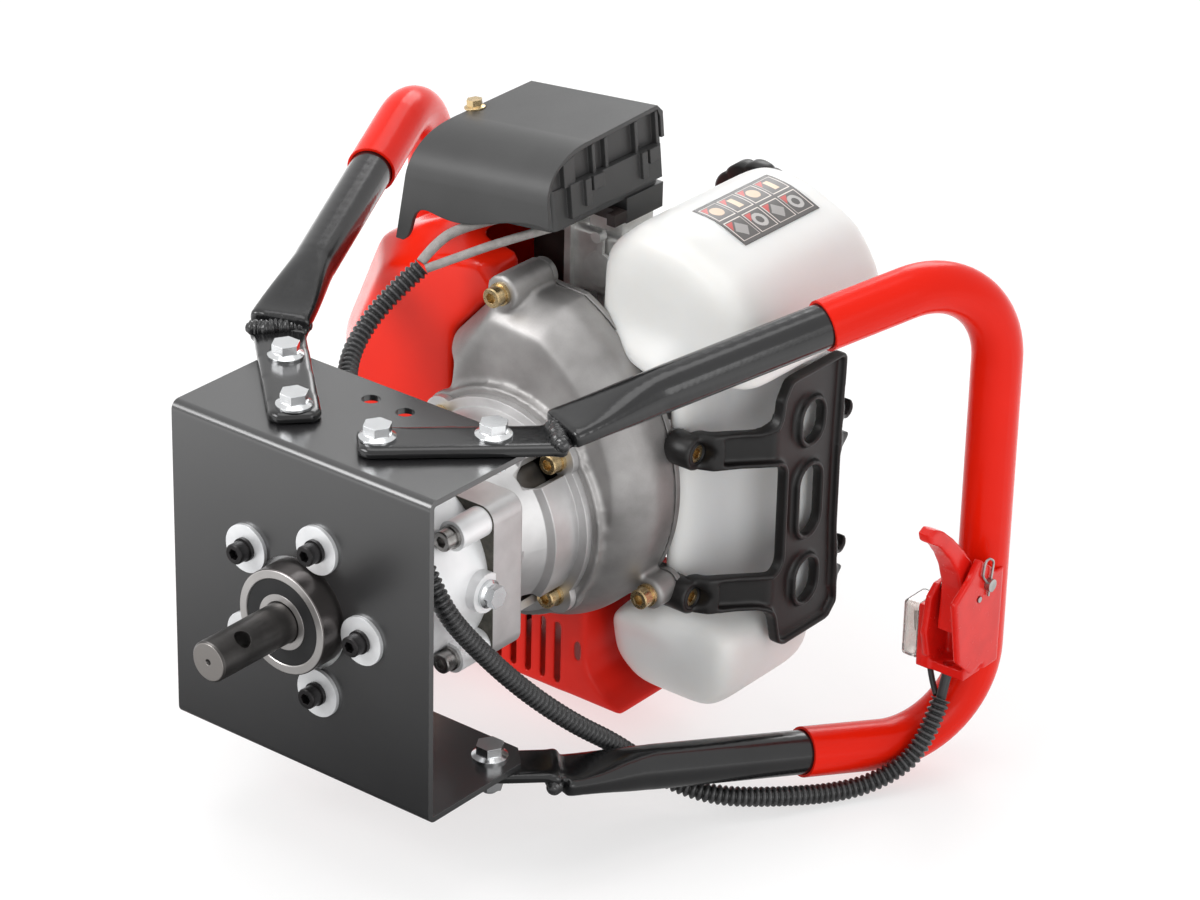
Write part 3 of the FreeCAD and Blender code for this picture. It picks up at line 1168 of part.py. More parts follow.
def wavy_cut(left, right, front):
    """Cuts the cover's front skirt along a wave that falls to a tail at its left end,
    and everything behind the skirt below the tray's rim."""
    low = 90
    points = [V(left - 2, 0, 111), V(left + 3, 0, 119), V(left + 6, 0, 127), V(left + 10, 0, 130),
              V(left + 18, 0, 130), V(left + 29, 0, 129.5), V(left + 39, 0, 131), V(left + 61, 0, 138),
              V(right + 8, 0, 141)]
    curve = Part.BSplineCurve()
    curve.interpolate(points)
    corners = [points[-1], V(right + 8, 0, low), V(left - 20, 0, low), V(left - 20, 0, 111), points[0]]
    edge = [curve.toShape()] + [Part.makeLine(a, b) for a, b in zip(corners, corners[1:])]
    skirt = Part.Face(Part.Wire(edge)).extrude(V(0, 20, 0))
    skirt.translate(V(0, front - 10, 0))
    behind = block((left - 20, front + 3, low), (right + 8, "filter_back + 5", "filter_low + 8"))
    return skirt.fuse(behind)


def cover_nut():
    """Nut on the filter cover, and the choke's lever on the tray's neck."""
    nut = Body("filter_cover_nut")
    nut.turn([(0, 0), (5.2, 0), (5.2, 0.8), (4, 1.4), (0, 1.4)])
    nut.pad("XZ", 1, 3.6, hexagon(7))
    spot = tilted(Part.Vertex(-size("filter_left") + 8, size("filter_front + 44"), 176.2)).Point
    lean = FreeCAD.Rotation(V(0, 1, 0), -size("filter_tilt"))
    nut.body.Placement = FreeCAD.Placement(spot, lean.multiply(FreeCAD.Rotation(V(1, 0, 0), 90)))
    node(nut.body, "filter_cover_nut")
    lever = cylinder(1.6, 6, (-4, 228, 132), (0, 1, 0)).fuse(rounded_box((-7, 225, 129), (17, 228, 135), 2, (0, 1, 0)))
    lever = lever.fuse(block((12, 219, 129), (17, 228, 135)))
    item = doc.addObject("Part::Feature", "choke_lever")
    item.Shape = lever.removeSplitter()
    node(item, "choke_lever")


def prism(plane, corners, low, high):
    """Solid with a polygon outline: XZ outlines run along Y, XY outlines along Z, YZ along X."""
    lift = {"XZ": lambda a, b: V(a, low, b), "XY": lambda a, b: V(a, b, low), "YZ": lambda a, b: V(low, a, b)}
    run = {"XZ": V(0, 1, 0), "XY": V(0, 0, 1), "YZ": V(1, 0, 0)}
    wire = Part.makePolygon([lift[plane](a, b) for a, b in corners + corners[:1]])
    return Part.Face(wire).extrude(run[plane] * (high - low))


def tank():
    """Blown tank in three lobes, its filler on the back, and the filler's cap."""
    front, back = size("tank_front"), size("tank_back")
    out, radius = size("tank_out"), size("tank_round")
    top, low = size("tank_top"), -size("tank_low")
    wall = size("tank_wall")
    outline = [(20, 84), (21, top - 16), (42, top + 2), (66, top + 1), (99, top - 13), (out, top - 36), (out, 74),
               (64, 70)]
    upper = prism("XZ", outline, front, back)
    upper = upper.makeFillet(radius, upper.Edges)
    hollow = prism("XZ", [(26.5, 89), (27, top - 19), (44.5, top - 4), (63.5, top - 5), (95, top - 17),
                          (out - 6, top - 38), (out - 6, 79), (64, 76.5)], front + wall, back - wall)
    mid = prism("XY", [(63, 212), (76, 212), (77, 228), (92, 248), (102, 253), (102, 288), (92, 300), (63, 300)],
                -78, 92)
    mid = mid.makeFillet(4.5, [edge for edge in mid.Edges if along(edge, V(0, 0, 1))])
    outline = [(29, -72), (31, -92), (47, low), (92, low), (103, low + 14), (104, -62), (80, -50), (50, -50)]
    lower = prism("XZ", outline, front + 4, 279)
    lower = lower.makeFillet(7, lower.Edges)
    hollow = hollow.fuse(prism("XY", [(66, 216), (73, 216), (74, 230), (89.5, 250), (98, 255), (98, 286), (91, 296),
                                      (66, 296)], -60, 80))
    hollow = hollow.fuse(prism("XZ", [(34, -73), (35.5, -90), (48.5, low + 4.5), (90, low + 4.5), (98.5, -88.5),
                                      (99.3, -65), (79, -55), (52, -55)], front + 2 + wall, 281 - wall))
    x, z = size("cap_x"), size("cap_z")
    neck = cylinder("cap_radius - 4", 18, (x, back - 12, z), (0, 1, 0))
    item = doc.addObject("Part::Feature", "fuel_tank")
    solid = upper.multiFuse([mid, lower, neck]).removeSplitter().cut(hollow)
    item.Shape = solid.cut(cylinder("cap_radius - 6.5", 40, (x, back - 20, z), (0, 1, 0)))
    node(item, "fuel_tank")
    cap = Body("fuel_cap")
    inner, outer = "cap_radius - 3.7", "cap_radius"
    cap.turn([(0, 6.3), (inner, 6.3), (inner, 0.4), (outer, 0.4), (outer, 11), (outer + " - 2", 12.5), (0, 12.5)])
    lump = cap.pad("XZ", 0.4, 10, circles=[(0, "cap_radius - 1.2", 2.2)])
    cap.around(lump, 12)
    place(cap.body, ("cap_x", "tank_back", "cap_z"))
    node(cap.body, "fuel_cap")


def upright_oval(y, z, half, radius, x, length):
    """Bar along X with an upright oval section; half is the distance of its end circles."""
    solid = block((x, y - radius, z - half), (x + length, y + radius, z + half))
    for side in (1, -1):
        solid = solid.fuse(cylinder(radius, length, (x, y, z + side * half), (1, 0, 0)))
    return solid.removeSplitter()


def tank_guard():
    """Moulded guard outside the tank: rimmed plate with three collared oval windows, two
    legs that curve in to the screw bosses, and tube hooks on the rear edge."""
    front, back = size("guard_front"), size("guard_front + guard_wide")
    half, face, rim = size("guard_half"), size("guard_face"), size("guard_rim")
    wall, floor = size("guard_wall"), size("guard_floor")
    boss_x, boss_y, boss_z = size("guard_boss_x"), size("guard_boss_y"), size("guard_boss_z")
    leg = size("guard_leg/2")
    outline = [(back - 1, half), (front + 2, half), (front - 4, half - 9), (front - 6, boss_z + leg),
               (boss_y - 6, boss_z + leg), (boss_y - 6, boss_z - leg), (front, boss_z - leg),
               (front, -boss_z + leg), (boss_y - 6, -boss_z + leg), (boss_y - 6, -boss_z - leg),
               (front - 6, -boss_z - leg), (front - 1, -half + 3), (front + 4, -half), (back - 7, -half),
               (back, -half + 7), (back - 3, -20), (back - 3, 20)]
    prism_side = prism("YZ", outline, 60, face + 1)
    rounded = {0: 4, 1: 5, 2: 5, 3: 9, 6: 7, 7: 7, 10: 9, 11: 4, 12: 3, 13: 4, 14: 4}
    for number, radius in rounded.items():
        y, z = outline[number]
        edges = [edge for edge in prism_side.Edges if along(edge, V(1, 0, 0))
                 and abs(middle(edge).y - y) < 0.01 and abs(middle(edge).z - z) < 0.01]
        prism_side = prism_side.makeFillet(radius, edges)
    bend = [(boss_x + 1, boss_y + 2), (boss_x + 6, boss_y + 4), (boss_x + 15, boss_y + 16),
            (face, front - 7), (face, back + 1), (face - rim, back + 1), (face - rim, front - 5),
            (boss_x + 8, boss_y + 17), (boss_x, boss_y + 8), (boss_x - 6, boss_y + 7), (boss_x - 6, boss_y + 2)]
    band = prism("XY", bend, -half - 5, half + 5)
    band = band.makeFillet(5, [edge for edge in band.Edges if along(edge, V(0, 0, 1))
                               and boss_y + 5 < middle(edge).y < back])
    solid = prism_side.common(band)
    ends = [side for side in prism_side.Faces if abs(side.CenterOfMass.x - face - 1) < 0.01]
    hollow = Part.Face(ends[0].OuterWire.makeOffset2D(-wall)).extrude(V(-60, 0, 0))
    lifted = band.copy()
    lifted.translate(V(floor, 0, 0))
    solid = solid.cut(hollow.common(lifted).cut(block((0, 0, -100), (200, boss_y + 9, 100))))
    middle_y, outer, inner = size("guard_window_y"), size("guard_window/2 + guard_wall"), size("guard_window/2")
    for z, reach in ((43.5, 2.5), (1, 10), (-42.7, 3)):
        solid = solid.fuse(upright_oval(middle_y, z, reach, outer, face - rim, rim))
        solid = solid.cut(upright_oval(middle_y, z, reach, inner, face - rim - 1, rim + 2))
    for z in (39, -35):
        hook = cylinder(5, rim - 1, (face - rim, back + 2, z), (1, 0, 0))
        hook = hook.cut(cylinder(2.8, rim + 1, (face - rim - 1, back + 2, z), (1, 0, 0)))
        hook = hook.cut(block((face - rim - 1, back, z), (face + 1, back + 4.5, z + 8)))
        solid = solid.fuse(hook)
    for z in (24, -49):
        corner = [(back - 4, z - 8), (back + 4, z), (back + 4, z + 2), (back - 4, z + 5)]
        solid = solid.fuse(prism("YZ", corner, face - rim, face - 1))
    for side in (1, -1):
        z = side * boss_z
        solid = solid.fuse(cylinder("guard_boss", 13, (boss_x - 13, boss_y, z), (1, 0, 0)))
        solid = solid.cut(cylinder("screw_shank/2 + 0.2", 20, (boss_x - 14, boss_y, z), (1, 0, 0)))
        solid = solid.cut(cylinder("screw_head/2 + 0.5", 20, (boss_x - 7, boss_y, z), (1, 0, 0)))
    solid = solid.cut(block((50, 150, -80), (82, size("fan_back") + 3.3, 80)))
    item = doc.addObject("Part::Feature", "tank_guard")
    item.Shape = solid.removeSplitter()
    return node(item, "tank_guard")


def recoil():
    """Starter cover behind the crankcase, its pulley, and the pull handle on its side."""
    radius, wall = size("starter_radius"), size("starter_wall")
    front, back = size("block_back"), size("starter_back")
    outer = Part.makeCone(radius, radius - 5, back - front, V(0, front, 0), V(0, 1, 0))
    outer = outer.makeFillet(4, [edge for edge in outer.Edges if abs(middle(edge).y - back) < 0.1])
    inner = Part.makeCone(radius - wall, radius - 5 - wall, back - front - wall, V(0, front, 0), V(0, 1, 0))
    solid = outer.cut(inner)
    ring_wall = cylinder(radius - 1, 2.4, (0, front, 0), (0, 1, 0)).cut(cylinder("block_radius - 3", 4, (0, front - 1, 0), (0, 1, 0)))
    solid = solid.fuse(ring_wall)
    for number in range(10):
        slot = block((22, back - 10, -2.2), (44, back + 1, 2.2))
        solid = solid.cut(moved(slot, (0, 0, 0), (0, 1, 0), 36 * number + 18))
    guide = block((-36, 277, 40), (-20, 295, radius + 2)).cut(inner)
    solid = solid.fuse(guide)
    solid = solid.cut(cylinder(3, 60, ("-pulley_radius", 286, 20), (0, 0, 1)))
    solid = solid.fuse(cylinder(5, back - 2 - 272, (0, 272, 0), (0, 1, 0)))
    item = doc.addObject("Part::Feature", "recoil_housing")
    item.Shape = solid.removeSplitter()
    node(item, "recoil_housing")
    pulley = Body("recoil_pulley")
    rope = "pulley_radius - 2.2"
    pulley.turn([("5 + running_gap", 278), ("pulley_radius + 3", 278), ("pulley_radius + 3", 280), (rope, 284),
                 (rope, 288), ("pulley_radius + 3", 292), ("pulley_radius + 3", 294), ("5 + running_gap", 294)])
    node(pulley.body, "recoil_pulley")
    bar = rounded_box((-54, 279, radius + 2.4), (-2, 293, radius + 14), 5.5)
    rope = cylinder(1.75, 26, ("-pulley_radius", 286, radius - 20), (0, 0, 1))
    item = doc.addObject("Part::Feature", "recoil_handle")
    item.Shape = bar.fuse(rope)
    node(item, "recoil_handle")


def oval(wide, tall, power, centre, along_way, up):
    """Closed curve between an ellipse and a box, square to a direction."""
    side = along_way.cross(up).normalize()
    points = []
    for step in range(16):
        turn = 2 * math.pi * step / 16
        c, s = math.cos(turn), math.sin(turn)
        a = wide / 2 * math.copysign(abs(c) ** (2 / power), c)
        b = tall / 2 * math.copysign(abs(s) ** (2 / power), s)
        points.append(centre + side * a + up * b)
    curve = Part.BSplineCurve()
    curve.interpolate(points, PeriodicFlag=True)
    return Part.Wire(curve.toShape())


def handle_points(side):
    """Ends and corners of a handle's centre line: two welds and two bends."""
    x, y, z = size("weld_x"), size("weld_y"), round(size("bracket_height/2 + weld_rise"), 6)
    gx, gy, gz = size("grip_x"), size("grip_y"), size("grip_z")
    return [V(side * x, y, z), V(side * gx, gy, gz), V(side * gx, gy, -gz), V(side * x, y, -z)]


def bent_path(points, radii):
    """Straight runs joined by tangent arcs."""
    edges = []
    start = points[0]
    for before, corner, after, radius in zip(points, points[1:], points[2:], radii):
        into = (corner - before).normalize()
        out = (after - corner).normalize()
        turn = into.getAngle(out)
        cut = radius * math.tan(turn / 2)
        first, last = corner - into * cut, corner + out * cut
        inward = (out - into).normalize()
        centre = corner + inward * (radius / math.cos(turn / 2))
        mid = centre - inward * radius
        edges.append(Part.LineSegment(start, first).toShape())
        edges.append(Part.Arc(first, mid, last).toShape())
        start = last
    edges.append(Part.LineSegment(start, points[-1]).toShape())
    return Part.Wire(edges)


def sweep(path, radius):
    """Round bar of the given radius along a path."""
    edge = path.Edges[0]
    start = edge.Vertexes[0].Point
    way = edge.tangentAt(edge.FirstParameter)
    ring_edge = Part.Wire(Part.Circle(start, way, radius).toShape())
    return path.makePipeShell([ring_edge], True, False)


def handle(side, label):
    """Bent tube whose flattened ends are welded to flat bars under the bracket's bolts."""
    weld_top, bend_top, bend_low, weld_low = handle_points(side)
    bend = size("handle_bend")
    flat = size("flat_long")
    way_top = (bend_top - weld_top).normalize()
    way_low = (bend_low - weld_low).normalize()
    weld_top, weld_low = weld_top - way_top * 5, weld_low - way_low * 5
    path = bent_path([weld_top + way_top * flat, bend_top, bend_low, weld_low + way_low * flat], [bend, bend])
    solid = sweep(path, size("tube/2"))
    parts = []
    for weld, way, z in ((weld_top, way_top, 1), (weld_low, way_low, -1)):
        level = V(way.x, way.y, 0).normalize()
        up = level.cross(V(0, 0, 1)).cross(way).normalize()
        if up.z < 0:
            up = up * -1
        share = [(0, size("flat_wide"), size("flat_thick"), 5), (flat * 0.3, size("flat_wide") - 1.5, size("flat_thick") + 1.5, 4),
                 (flat * 0.68, size("tube") + 2.5, size("tube") - 3.5, 2.4),
                 (flat, size("tube") - 0.3, size("tube") - 0.3, 2), (flat + 6, size("tube") - 0.3, size("tube") - 0.3, 2)]
        sections = [oval(wide, tall, power, weld + way * along_it, way, up) for along_it, wide, tall, power in share]
        parts.append(Part.makeLoft(sections, True, False, False))
        first = V(side * size("inner_bolt_x"), size("inner_bolt_y"), 0)
        end = V(weld.x, weld.y, 0)
        run = (end - first).normalize()
        across = run.cross(V(0, 0, 1))
        half = size("bar_wide/2")
        tip = first - run * (half - 3)
        far = end + run * 2
        corners = [tip + across * (half - 4), first - run * (half - 8) + across * half, far + across * half,
                   far - across * half, first - run * (half - 8) - across * half, tip - across * (half - 4)]
        low = size("bracket_height/2") if z > 0 else -size("bracket_height/2 + bar_thick")
        wire = Part.makePolygon([V(c.x, c.y, low) for c in corners + corners[:1]])
        bar = Part.Face(wire).extrude(V(0, 0, size("bar_thick")))
        for bolt in (("inner_bolt_x", "inner_bolt_y"), ("outer_bolt_x", "outer_bolt_y")):
            bar = bar.cut(cylinder("handle_bolt_hole/2", 12, (side * size(bolt[0]), bolt[1], low - 2), (0, 0, 1)))
        parts.append(bar)
        bead_at = weld + V(0, 0, -z * size("flat_thick/2"))
        bead = Part.makeCylinder(3, size("flat_wide") - 2, bead_at - across * (size("flat_wide") / 2 - 1), across)
        parts.append(bead)
    solid = solid.multiFuse(parts)
    item = doc.addObject("Part::Feature", label)
    item.Shape = solid
    node(item, label)


def grips():
    """Soft sleeves round both handles."""
    solids = []
    for side in (1, -1):
        weld_top, bend_top, bend_low, weld_low = handle_points(side)
        way_top = (bend_top - weld_top).normalize()
        way_low = (bend_low - weld_low).normalize()
        reach = size("grip_start")
        path = bent_path([weld_top + way_top * reach, bend_top, bend_low, weld_low + way_low * reach],
                         [size("handle_bend")] * 2)
        outer = sweep(path, size("tube/2 + grip_wall"))
        inner = sweep(path, size("tube/2 + 0.1"))
        solids.append(outer.cut(inner))
    group("grip_sleeves", solids)


def handle_fasteners():
    """Flange bolts and nuts that hold the flat bars on the bracket."""
    bolt = Body("handle_bolt_piece")
    grip = "bar_thick + sheet_wall"
    bolt.turn([(0, 0), ("handle_bolt/2 + 4.75", 0), ("handle_bolt/2 + 4.75", 1.2), ("handle_bolt/2 + 2.5", 2.6), (0, 2.6)])
    bolt.pad("XZ", 2, 5, hexagon(12))
    bolt.turn([(0, "-(%s) - 10" % grip), ("handle_bolt/2 - 0.6", "-(%s) - 10" % grip),
               ("handle_bolt/2", "-(%s) - 9.4" % grip), ("handle_bolt/2", 0.5), (0, 0.5)])
    nut = Body("handle_nut_piece")
    nut.turn([("handle_bolt/2 + 0.2", 0), ("handle_bolt/2 + 4.5", 0), ("handle_bolt/2 + 4.5", 1.2),
              ("handle_bolt/2 + 2", 2.4), ("handle_bolt/2 + 0.2", 2.4)])
    nut.pad("XZ", 1.5, 6, hexagon(12))
    nut.pocket("XZ", -1, 12, circles=[(0, 0, "handle_bolt/2 + 0.2")])
    doc.recompute()
    solids = []
    flange = size("bracket_height/2")
    for x in (size("inner_bolt_x"), size("outer_bolt_x"), -size("inner_bolt_x"), -size("outer_bolt_x")):
        y = size("inner_bolt_y" if abs(x) < 40 else "outer_bolt_y")
        solids.append(moved(bolt.body.Shape, (x, y, flange + size("bar_thick")), (1, 0, 0), 90))
        solids.append(moved(nut.body.Shape, (x, y, flange - size("sheet_wall")), (1, 0, 0), -90))
        solids.append(moved(bolt.body.Shape, (x, y, -flange + size("sheet_wall")), (1, 0, 0), 90))
        solids.append(moved(nut.body.Shape, (x, y, -flange - size("bar_thick")), (1, 0, 0), -90))
    group("handle_fasteners", solids)


def throttle():
    """Throttle on the right grip: clamped housing, trigger, clip, stop switch and its boot."""
    gx, gy = size("grip_x"), size("grip_y")
    hole = size("tube/2 + grip_wall + 0.1")
    saddle = rounded_box((gx - 13.5, gy - 15.5, -82), (gx + 13.5, gy - 1, -30), 2, (0, 0, 1))
    side = [(269.6, -35.6), (281.4, -26.9), (289, -18), (302, -27.8), (301, -55), (301, -77), (287.8, -80.7), (275.7, -70)]
    outer = prism("YZ", side, gx + 9.5, gx + 13.5)
    inner = prism("YZ", [(278, -62), (281, -43.5), (287, -38), (302, -38), (302, -80), (281.5, -76)], gx - 12, gx - 8)
    base = block((gx - 16.6, 283, -84), (gx - 9, 303, -50))
    foot = block((gx - 12, 284, -84), (gx + 11, 299, -79))
    solid = saddle.multiFuse([outer, inner, base, foot])
    solid = solid.cut(block((gx - 8, 255, -79), (gx + 9.5, 296.4, -10)))
    solid = solid.cut(cylinder(hole, 120, (gx, gy, -110), (0, 0, 1)))
    solid = solid.cut(cylinder(1.6, 50, (gx - 20, 290, -40), (1, 0, 0)))
    solid = solid.cut(cylinder(2.8, 12, (gx, 288, -88), (0, 0, 1)))
    solid = solid.cut(block((gx - 18, 286, -81.5), (gx - 9.6, 299.5, -53.5)))
    item = doc.addObject("Part::Feature", "throttle_housing")
    item.Shape = solid.removeSplitter()
    node(item, "throttle_housing")
    pull = [(257, 4.5), (262, 6), (268, 3), (276, -4), (285, -14), (291, -23), (294.5, -33), (295, -42), (291, -48),
            (288, -60), (283, -60), (284, -48), (284.5, -36), (281, -25), (274, -14), (266, -5), (258.5, -0.5)]
    blade = prism("YZ", pull, gx - 6, gx + 7.5)
    taper = prism("XY", [(gx - 2.5, 250), (gx + 4, 250), (gx + 7.5, 284), (gx + 7.5, 300), (gx - 6, 300), (gx - 6, 284)],
                  -70, 20)
    blade = blade.common(taper).cut(cylinder(2.05, 40, (gx - 20, 290, -40), (1, 0, 0)))
    item = doc.addObject("Part::Feature", "throttle_trigger")
    item.Shape = blade
    node(item, "throttle_trigger")
    pin = cylinder(1.55, 26, (gx - 12, 290, -40), (1, 0, 0))
    screw = cylinder(3.2, 3, (gx + 13.5, 296.5, -34), (1, 0, 0))
    at = gx + 14.6
    path = bent_path([V(at, 296, -40), V(at, 299, -22), V(at, 292, -17), V(at, 290, -27), V(at, 294, -32)], [3, 3, 3])
    group("trigger_spring_clip", [pin, screw.fuse(sweep(path, 0.6))])
    rocker = prism("XZ", [(gx - 13, -79), (gx - 13, -56), (gx - 21.5, -57), (gx - 20.5, -67.5), (gx - 18.5, -78)],
                   287, 298.5)
    rocker = rocker.fuse(cylinder(1.6, 12.5, (gx - 15.5, 286.5, -67.5), (0, 1, 0)))
    item = doc.addObject("Part::Feature", "stop_switch")
    item.Shape = rocker.removeSplitter()
    node(item, "stop_switch")
    boot = rounded_box((gx - 26.5, 284, -82), (gx - 16.6, 301.5, -51.5), 1.5)
    boot = boot.cut(block((gx - 25.4, 285.2, -80.8), (gx - 16, 300.3, -52.7)))
    item = doc.addObject("Part::Feature", "switch_boot")
    item.Shape = boot
    node(item, "switch_boot")


def conduit_points():
    """Corners of the corrugated tube's way from the throttle to the engine, in a list of X, Y, Z."""
    return [V(177.4, 282, -97), V(178.6, 268, -117), V(170.5, 250, -129), V(157, 230, -134.5), V(138, 192.6, -127.5),
            V(121, 172, -123.5), V(99.5, 161.5, -117.5), V(87.5, 142, -95), V(80, 113, -72), V(68, 88, -46),
            V(60.5, 62, -14), V(58.5, 46, 8), V(48, 43, 31), V(26, 46, 52), V(-12, 66, 63), V(-42, 92, 70),
            V(-58, 114, 80), V(-56, 138, 99), V(-47, 152.5, 112)]


def smooth_path(points):
    """Tangent arcs as wide as their neighbouring runs allow."""
    radii = []
    for before, corner, after in zip(points, points[1:], points[2:]):
        turn = (corner - before).getAngle(after - corner)
        shorter = min(before.distanceToPoint(corner), corner.distanceToPoint(after))
        radii.append(0.45 * shorter / math.tan(turn / 2))
    print("bends", [round(radius, 1) for radius in radii])
    return bent_path(points, radii)


def lines():
    """Corrugated tube with the throttle cable and the stop wires it carries."""
    path = smooth_path(conduit_points())
    solid = sweep(path, size("conduit/2"))
    print("tube length", round(path.Length, 1), "volume share",
          round(solid.Volume / (math.pi * size("conduit/2") ** 2 * path.Length), 4))
    item = doc.addObject("Part::Feature", "throttle_conduit")
    item.Shape = solid
    node(item, "throttle_conduit")
    first = sweep(smooth_path([V(-48, 153.2, 114), V(-46, 160, 121), V(-42, 174, 127), V(-30, 190, 130)]), 2.5)
    second = sweep(smooth_path([V(-45, 153.2, 111.5), V(-36, 163, 116), V(-22, 180, 123), V(-4, 198, 130)]), 2.2)
    cable = sweep(smooth_path([V(177.3, 282.8, -95.9), V(177.2, 284.2, -90.5), V(177.1, 286.6, -85.3)]), 2.5)
    wire = sweep(smooth_path([V(173.7, 283.4, -96.6), V(168, 287, -92), V(164.4, 289.6, -85.1)]), 1.5)
    group("control_wires", [first, second, cable, wire])


write_sheet()
bracket()
output_shaft()
front_bearing()
face_fasteners()
front_case()
gasket()
rear_housing()
case_fasteners()
gears()
inner_bearings()
clutch()
flywheel()
fan_housing()
housing_screws()
crankshaft()
crankcase()
engine_cylinder()
ignition()
shroud()
muffler()
intake()
air_filter()
cover_nut()
tank()
tank_guard()
recoil()
handle(1, "handle_right")
handle(-1, "handle_left")
grips()
handle_fasteners()
throttle()
lines()
doc.recompute()

for item in doc.Objects:
    if "Invalid" in item.State or "Error" in item.State:
        raise RuntimeError("%s: %s" % (item.Label, item.State))
for item in doc.Objects:
    if item.TypeId in ("PartDesign::Pocket", "PartDesign::Groove"):
        before = item.BaseFeature.Shape.Volume
        if item.Shape.Volume > before - 0.01:
            raise RuntimeError("%s cuts nothing" % item.Name)
os.makedirs("parts", exist_ok=True)
print("nodes", len(NODES))
for item in NODES:
    if item.Shape.isNull() or not item.Shape.isValid() or not item.Shape.Solids:
        raise RuntimeError("%s has no valid shape" % item.Label)
    item.Shape.exportStep("parts/%s.step" % item.Label)
    box = item.Shape.BoundBox
    print("%-22s solids %2d  x %7.1f %7.1f  y %7.1f %7.1f  z %7.1f %7.1f  volume %9.0f" % (
        item.Label, len(item.Shape.Solids), box.XMin, box.XMax, box.YMin, box.YMax, box.ZMin, box.ZMax,
        item.Shape.Volume))
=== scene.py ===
"""Looks of a petrol earth auger's power head: its finishes, its hose and wires, and a plain studio."""

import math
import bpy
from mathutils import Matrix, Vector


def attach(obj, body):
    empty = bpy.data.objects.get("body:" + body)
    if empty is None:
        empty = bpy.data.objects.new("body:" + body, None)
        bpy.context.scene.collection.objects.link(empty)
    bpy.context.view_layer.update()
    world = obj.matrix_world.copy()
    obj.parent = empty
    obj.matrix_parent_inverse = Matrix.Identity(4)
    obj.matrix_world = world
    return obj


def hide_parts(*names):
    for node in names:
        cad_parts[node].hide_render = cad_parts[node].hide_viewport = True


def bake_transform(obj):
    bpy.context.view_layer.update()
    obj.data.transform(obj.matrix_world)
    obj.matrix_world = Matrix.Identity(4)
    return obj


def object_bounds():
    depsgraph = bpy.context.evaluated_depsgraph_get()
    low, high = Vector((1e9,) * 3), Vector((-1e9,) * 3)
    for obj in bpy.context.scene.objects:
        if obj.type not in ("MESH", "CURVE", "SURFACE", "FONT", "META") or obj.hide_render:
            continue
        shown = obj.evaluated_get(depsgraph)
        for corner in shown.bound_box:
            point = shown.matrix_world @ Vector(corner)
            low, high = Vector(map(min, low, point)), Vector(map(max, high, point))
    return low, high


bl_info = {
    "name": "Earth auger power head",
    "version": (1, 0, 0),
    "blender": (4, 5, 0),
    "location": "View3D > Sidebar > Power head",
    "description": "Dresses the packed power head with its finishes, corrugated tube, sleeves, welds and stage",
    "category": "Object",
}

import bpy
import numpy as np
from bpy.props import FloatProperty, FloatVectorProperty, IntProperty, PointerProperty
from mathutils import Matrix, Vector

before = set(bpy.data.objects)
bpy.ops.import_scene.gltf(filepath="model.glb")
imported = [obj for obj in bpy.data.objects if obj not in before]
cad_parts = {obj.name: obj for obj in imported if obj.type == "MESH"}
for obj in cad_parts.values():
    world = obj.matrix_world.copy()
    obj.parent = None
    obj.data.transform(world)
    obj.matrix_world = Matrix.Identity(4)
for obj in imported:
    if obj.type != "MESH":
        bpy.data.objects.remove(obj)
CAD_BOX = [list(corner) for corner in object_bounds()]
MM = 0.001

# The corrugated tube's way, in metres: from the throttle under the right handle, round the bracket's edge,
# over the gearbox and up beside the cowl.
TUBE_ROUTE = np.array([
    (0.1774, 0.282, -0.097), (0.1786, 0.268, -0.117), (0.1705, 0.25, -0.129), (0.157, 0.23, -0.1345),
    (0.138, 0.1926, -0.1275), (0.121, 0.172, -0.1235), (0.0995, 0.1615, -0.1175), (0.0875, 0.142, -0.095),
    (0.08, 0.113, -0.072), (0.068, 0.088, -0.046), (0.0605, 0.062, -0.014), (0.0585, 0.046, 0.008),
    (0.048, 0.043, 0.031), (0.026, 0.046, 0.052), (-0.012, 0.066, 0.063), (-0.042, 0.092, 0.07),
    (-0.058, 0.114, 0.08), (-0.056, 0.138, 0.099), (-0.047, 0.1525, 0.112),
])
# The braided sleeves at its far end, and the short leads into the throttle.
SLEEVE_ROUTES = (
    np.array([(-0.048, 0.1532, 0.114), (-0.046, 0.16, 0.121), (-0.042, 0.174, 0.127), (-0.03, 0.19, 0.13)]),
    np.array([(-0.045, 0.1532, 0.1115), (-0.036, 0.163, 0.116), (-0.022, 0.18, 0.123), (-0.004, 0.198, 0.13)]),
)
STUB_ROUTES = (
    np.array([(0.1773, 0.2822, -0.0967), (0.1772, 0.2842, -0.0905), (0.1771, 0.2872, -0.083)]),
    np.array([(0.1737, 0.2834, -0.0966), (0.168, 0.287, -0.092), (0.164, 0.29, -0.083)]),
)

# In millimetres: the filler's axis at the tank's back, the outer middles of the tank guard's two bosses, and the
# right handle's upper weld bead and inner bolt. The other three welds are mirror images.
FILLER = (30, 311, 110)
GUARD_BOSSES = ((85.6, 199, 38.7), (85.6, 199, -38.7))
WELD = (85.9, 94.3, 91.1)
INNER_BOLT = (25.2, 38.1)
# Most values of a noise lie between these, for one with broad patches and for one with a fine grain.
PATCH_RANGE = (0.32, 0.68)
GRAIN_RANGE = (0.3, 0.7)


def tone(text):
    """A hex sRGB colour as linear light: c / 12.92 up to 0.04045, and ((c + 0.055) / 1.055) ** 2.4 above it."""
    parts = [int(text[start:start + 2], 16) / 255 for start in (1, 3, 5)]
    return tuple(c / 12.92 if c <= 0.04045 else ((c + 0.055) / 1.055) ** 2.4 for c in parts) + (1.0,)


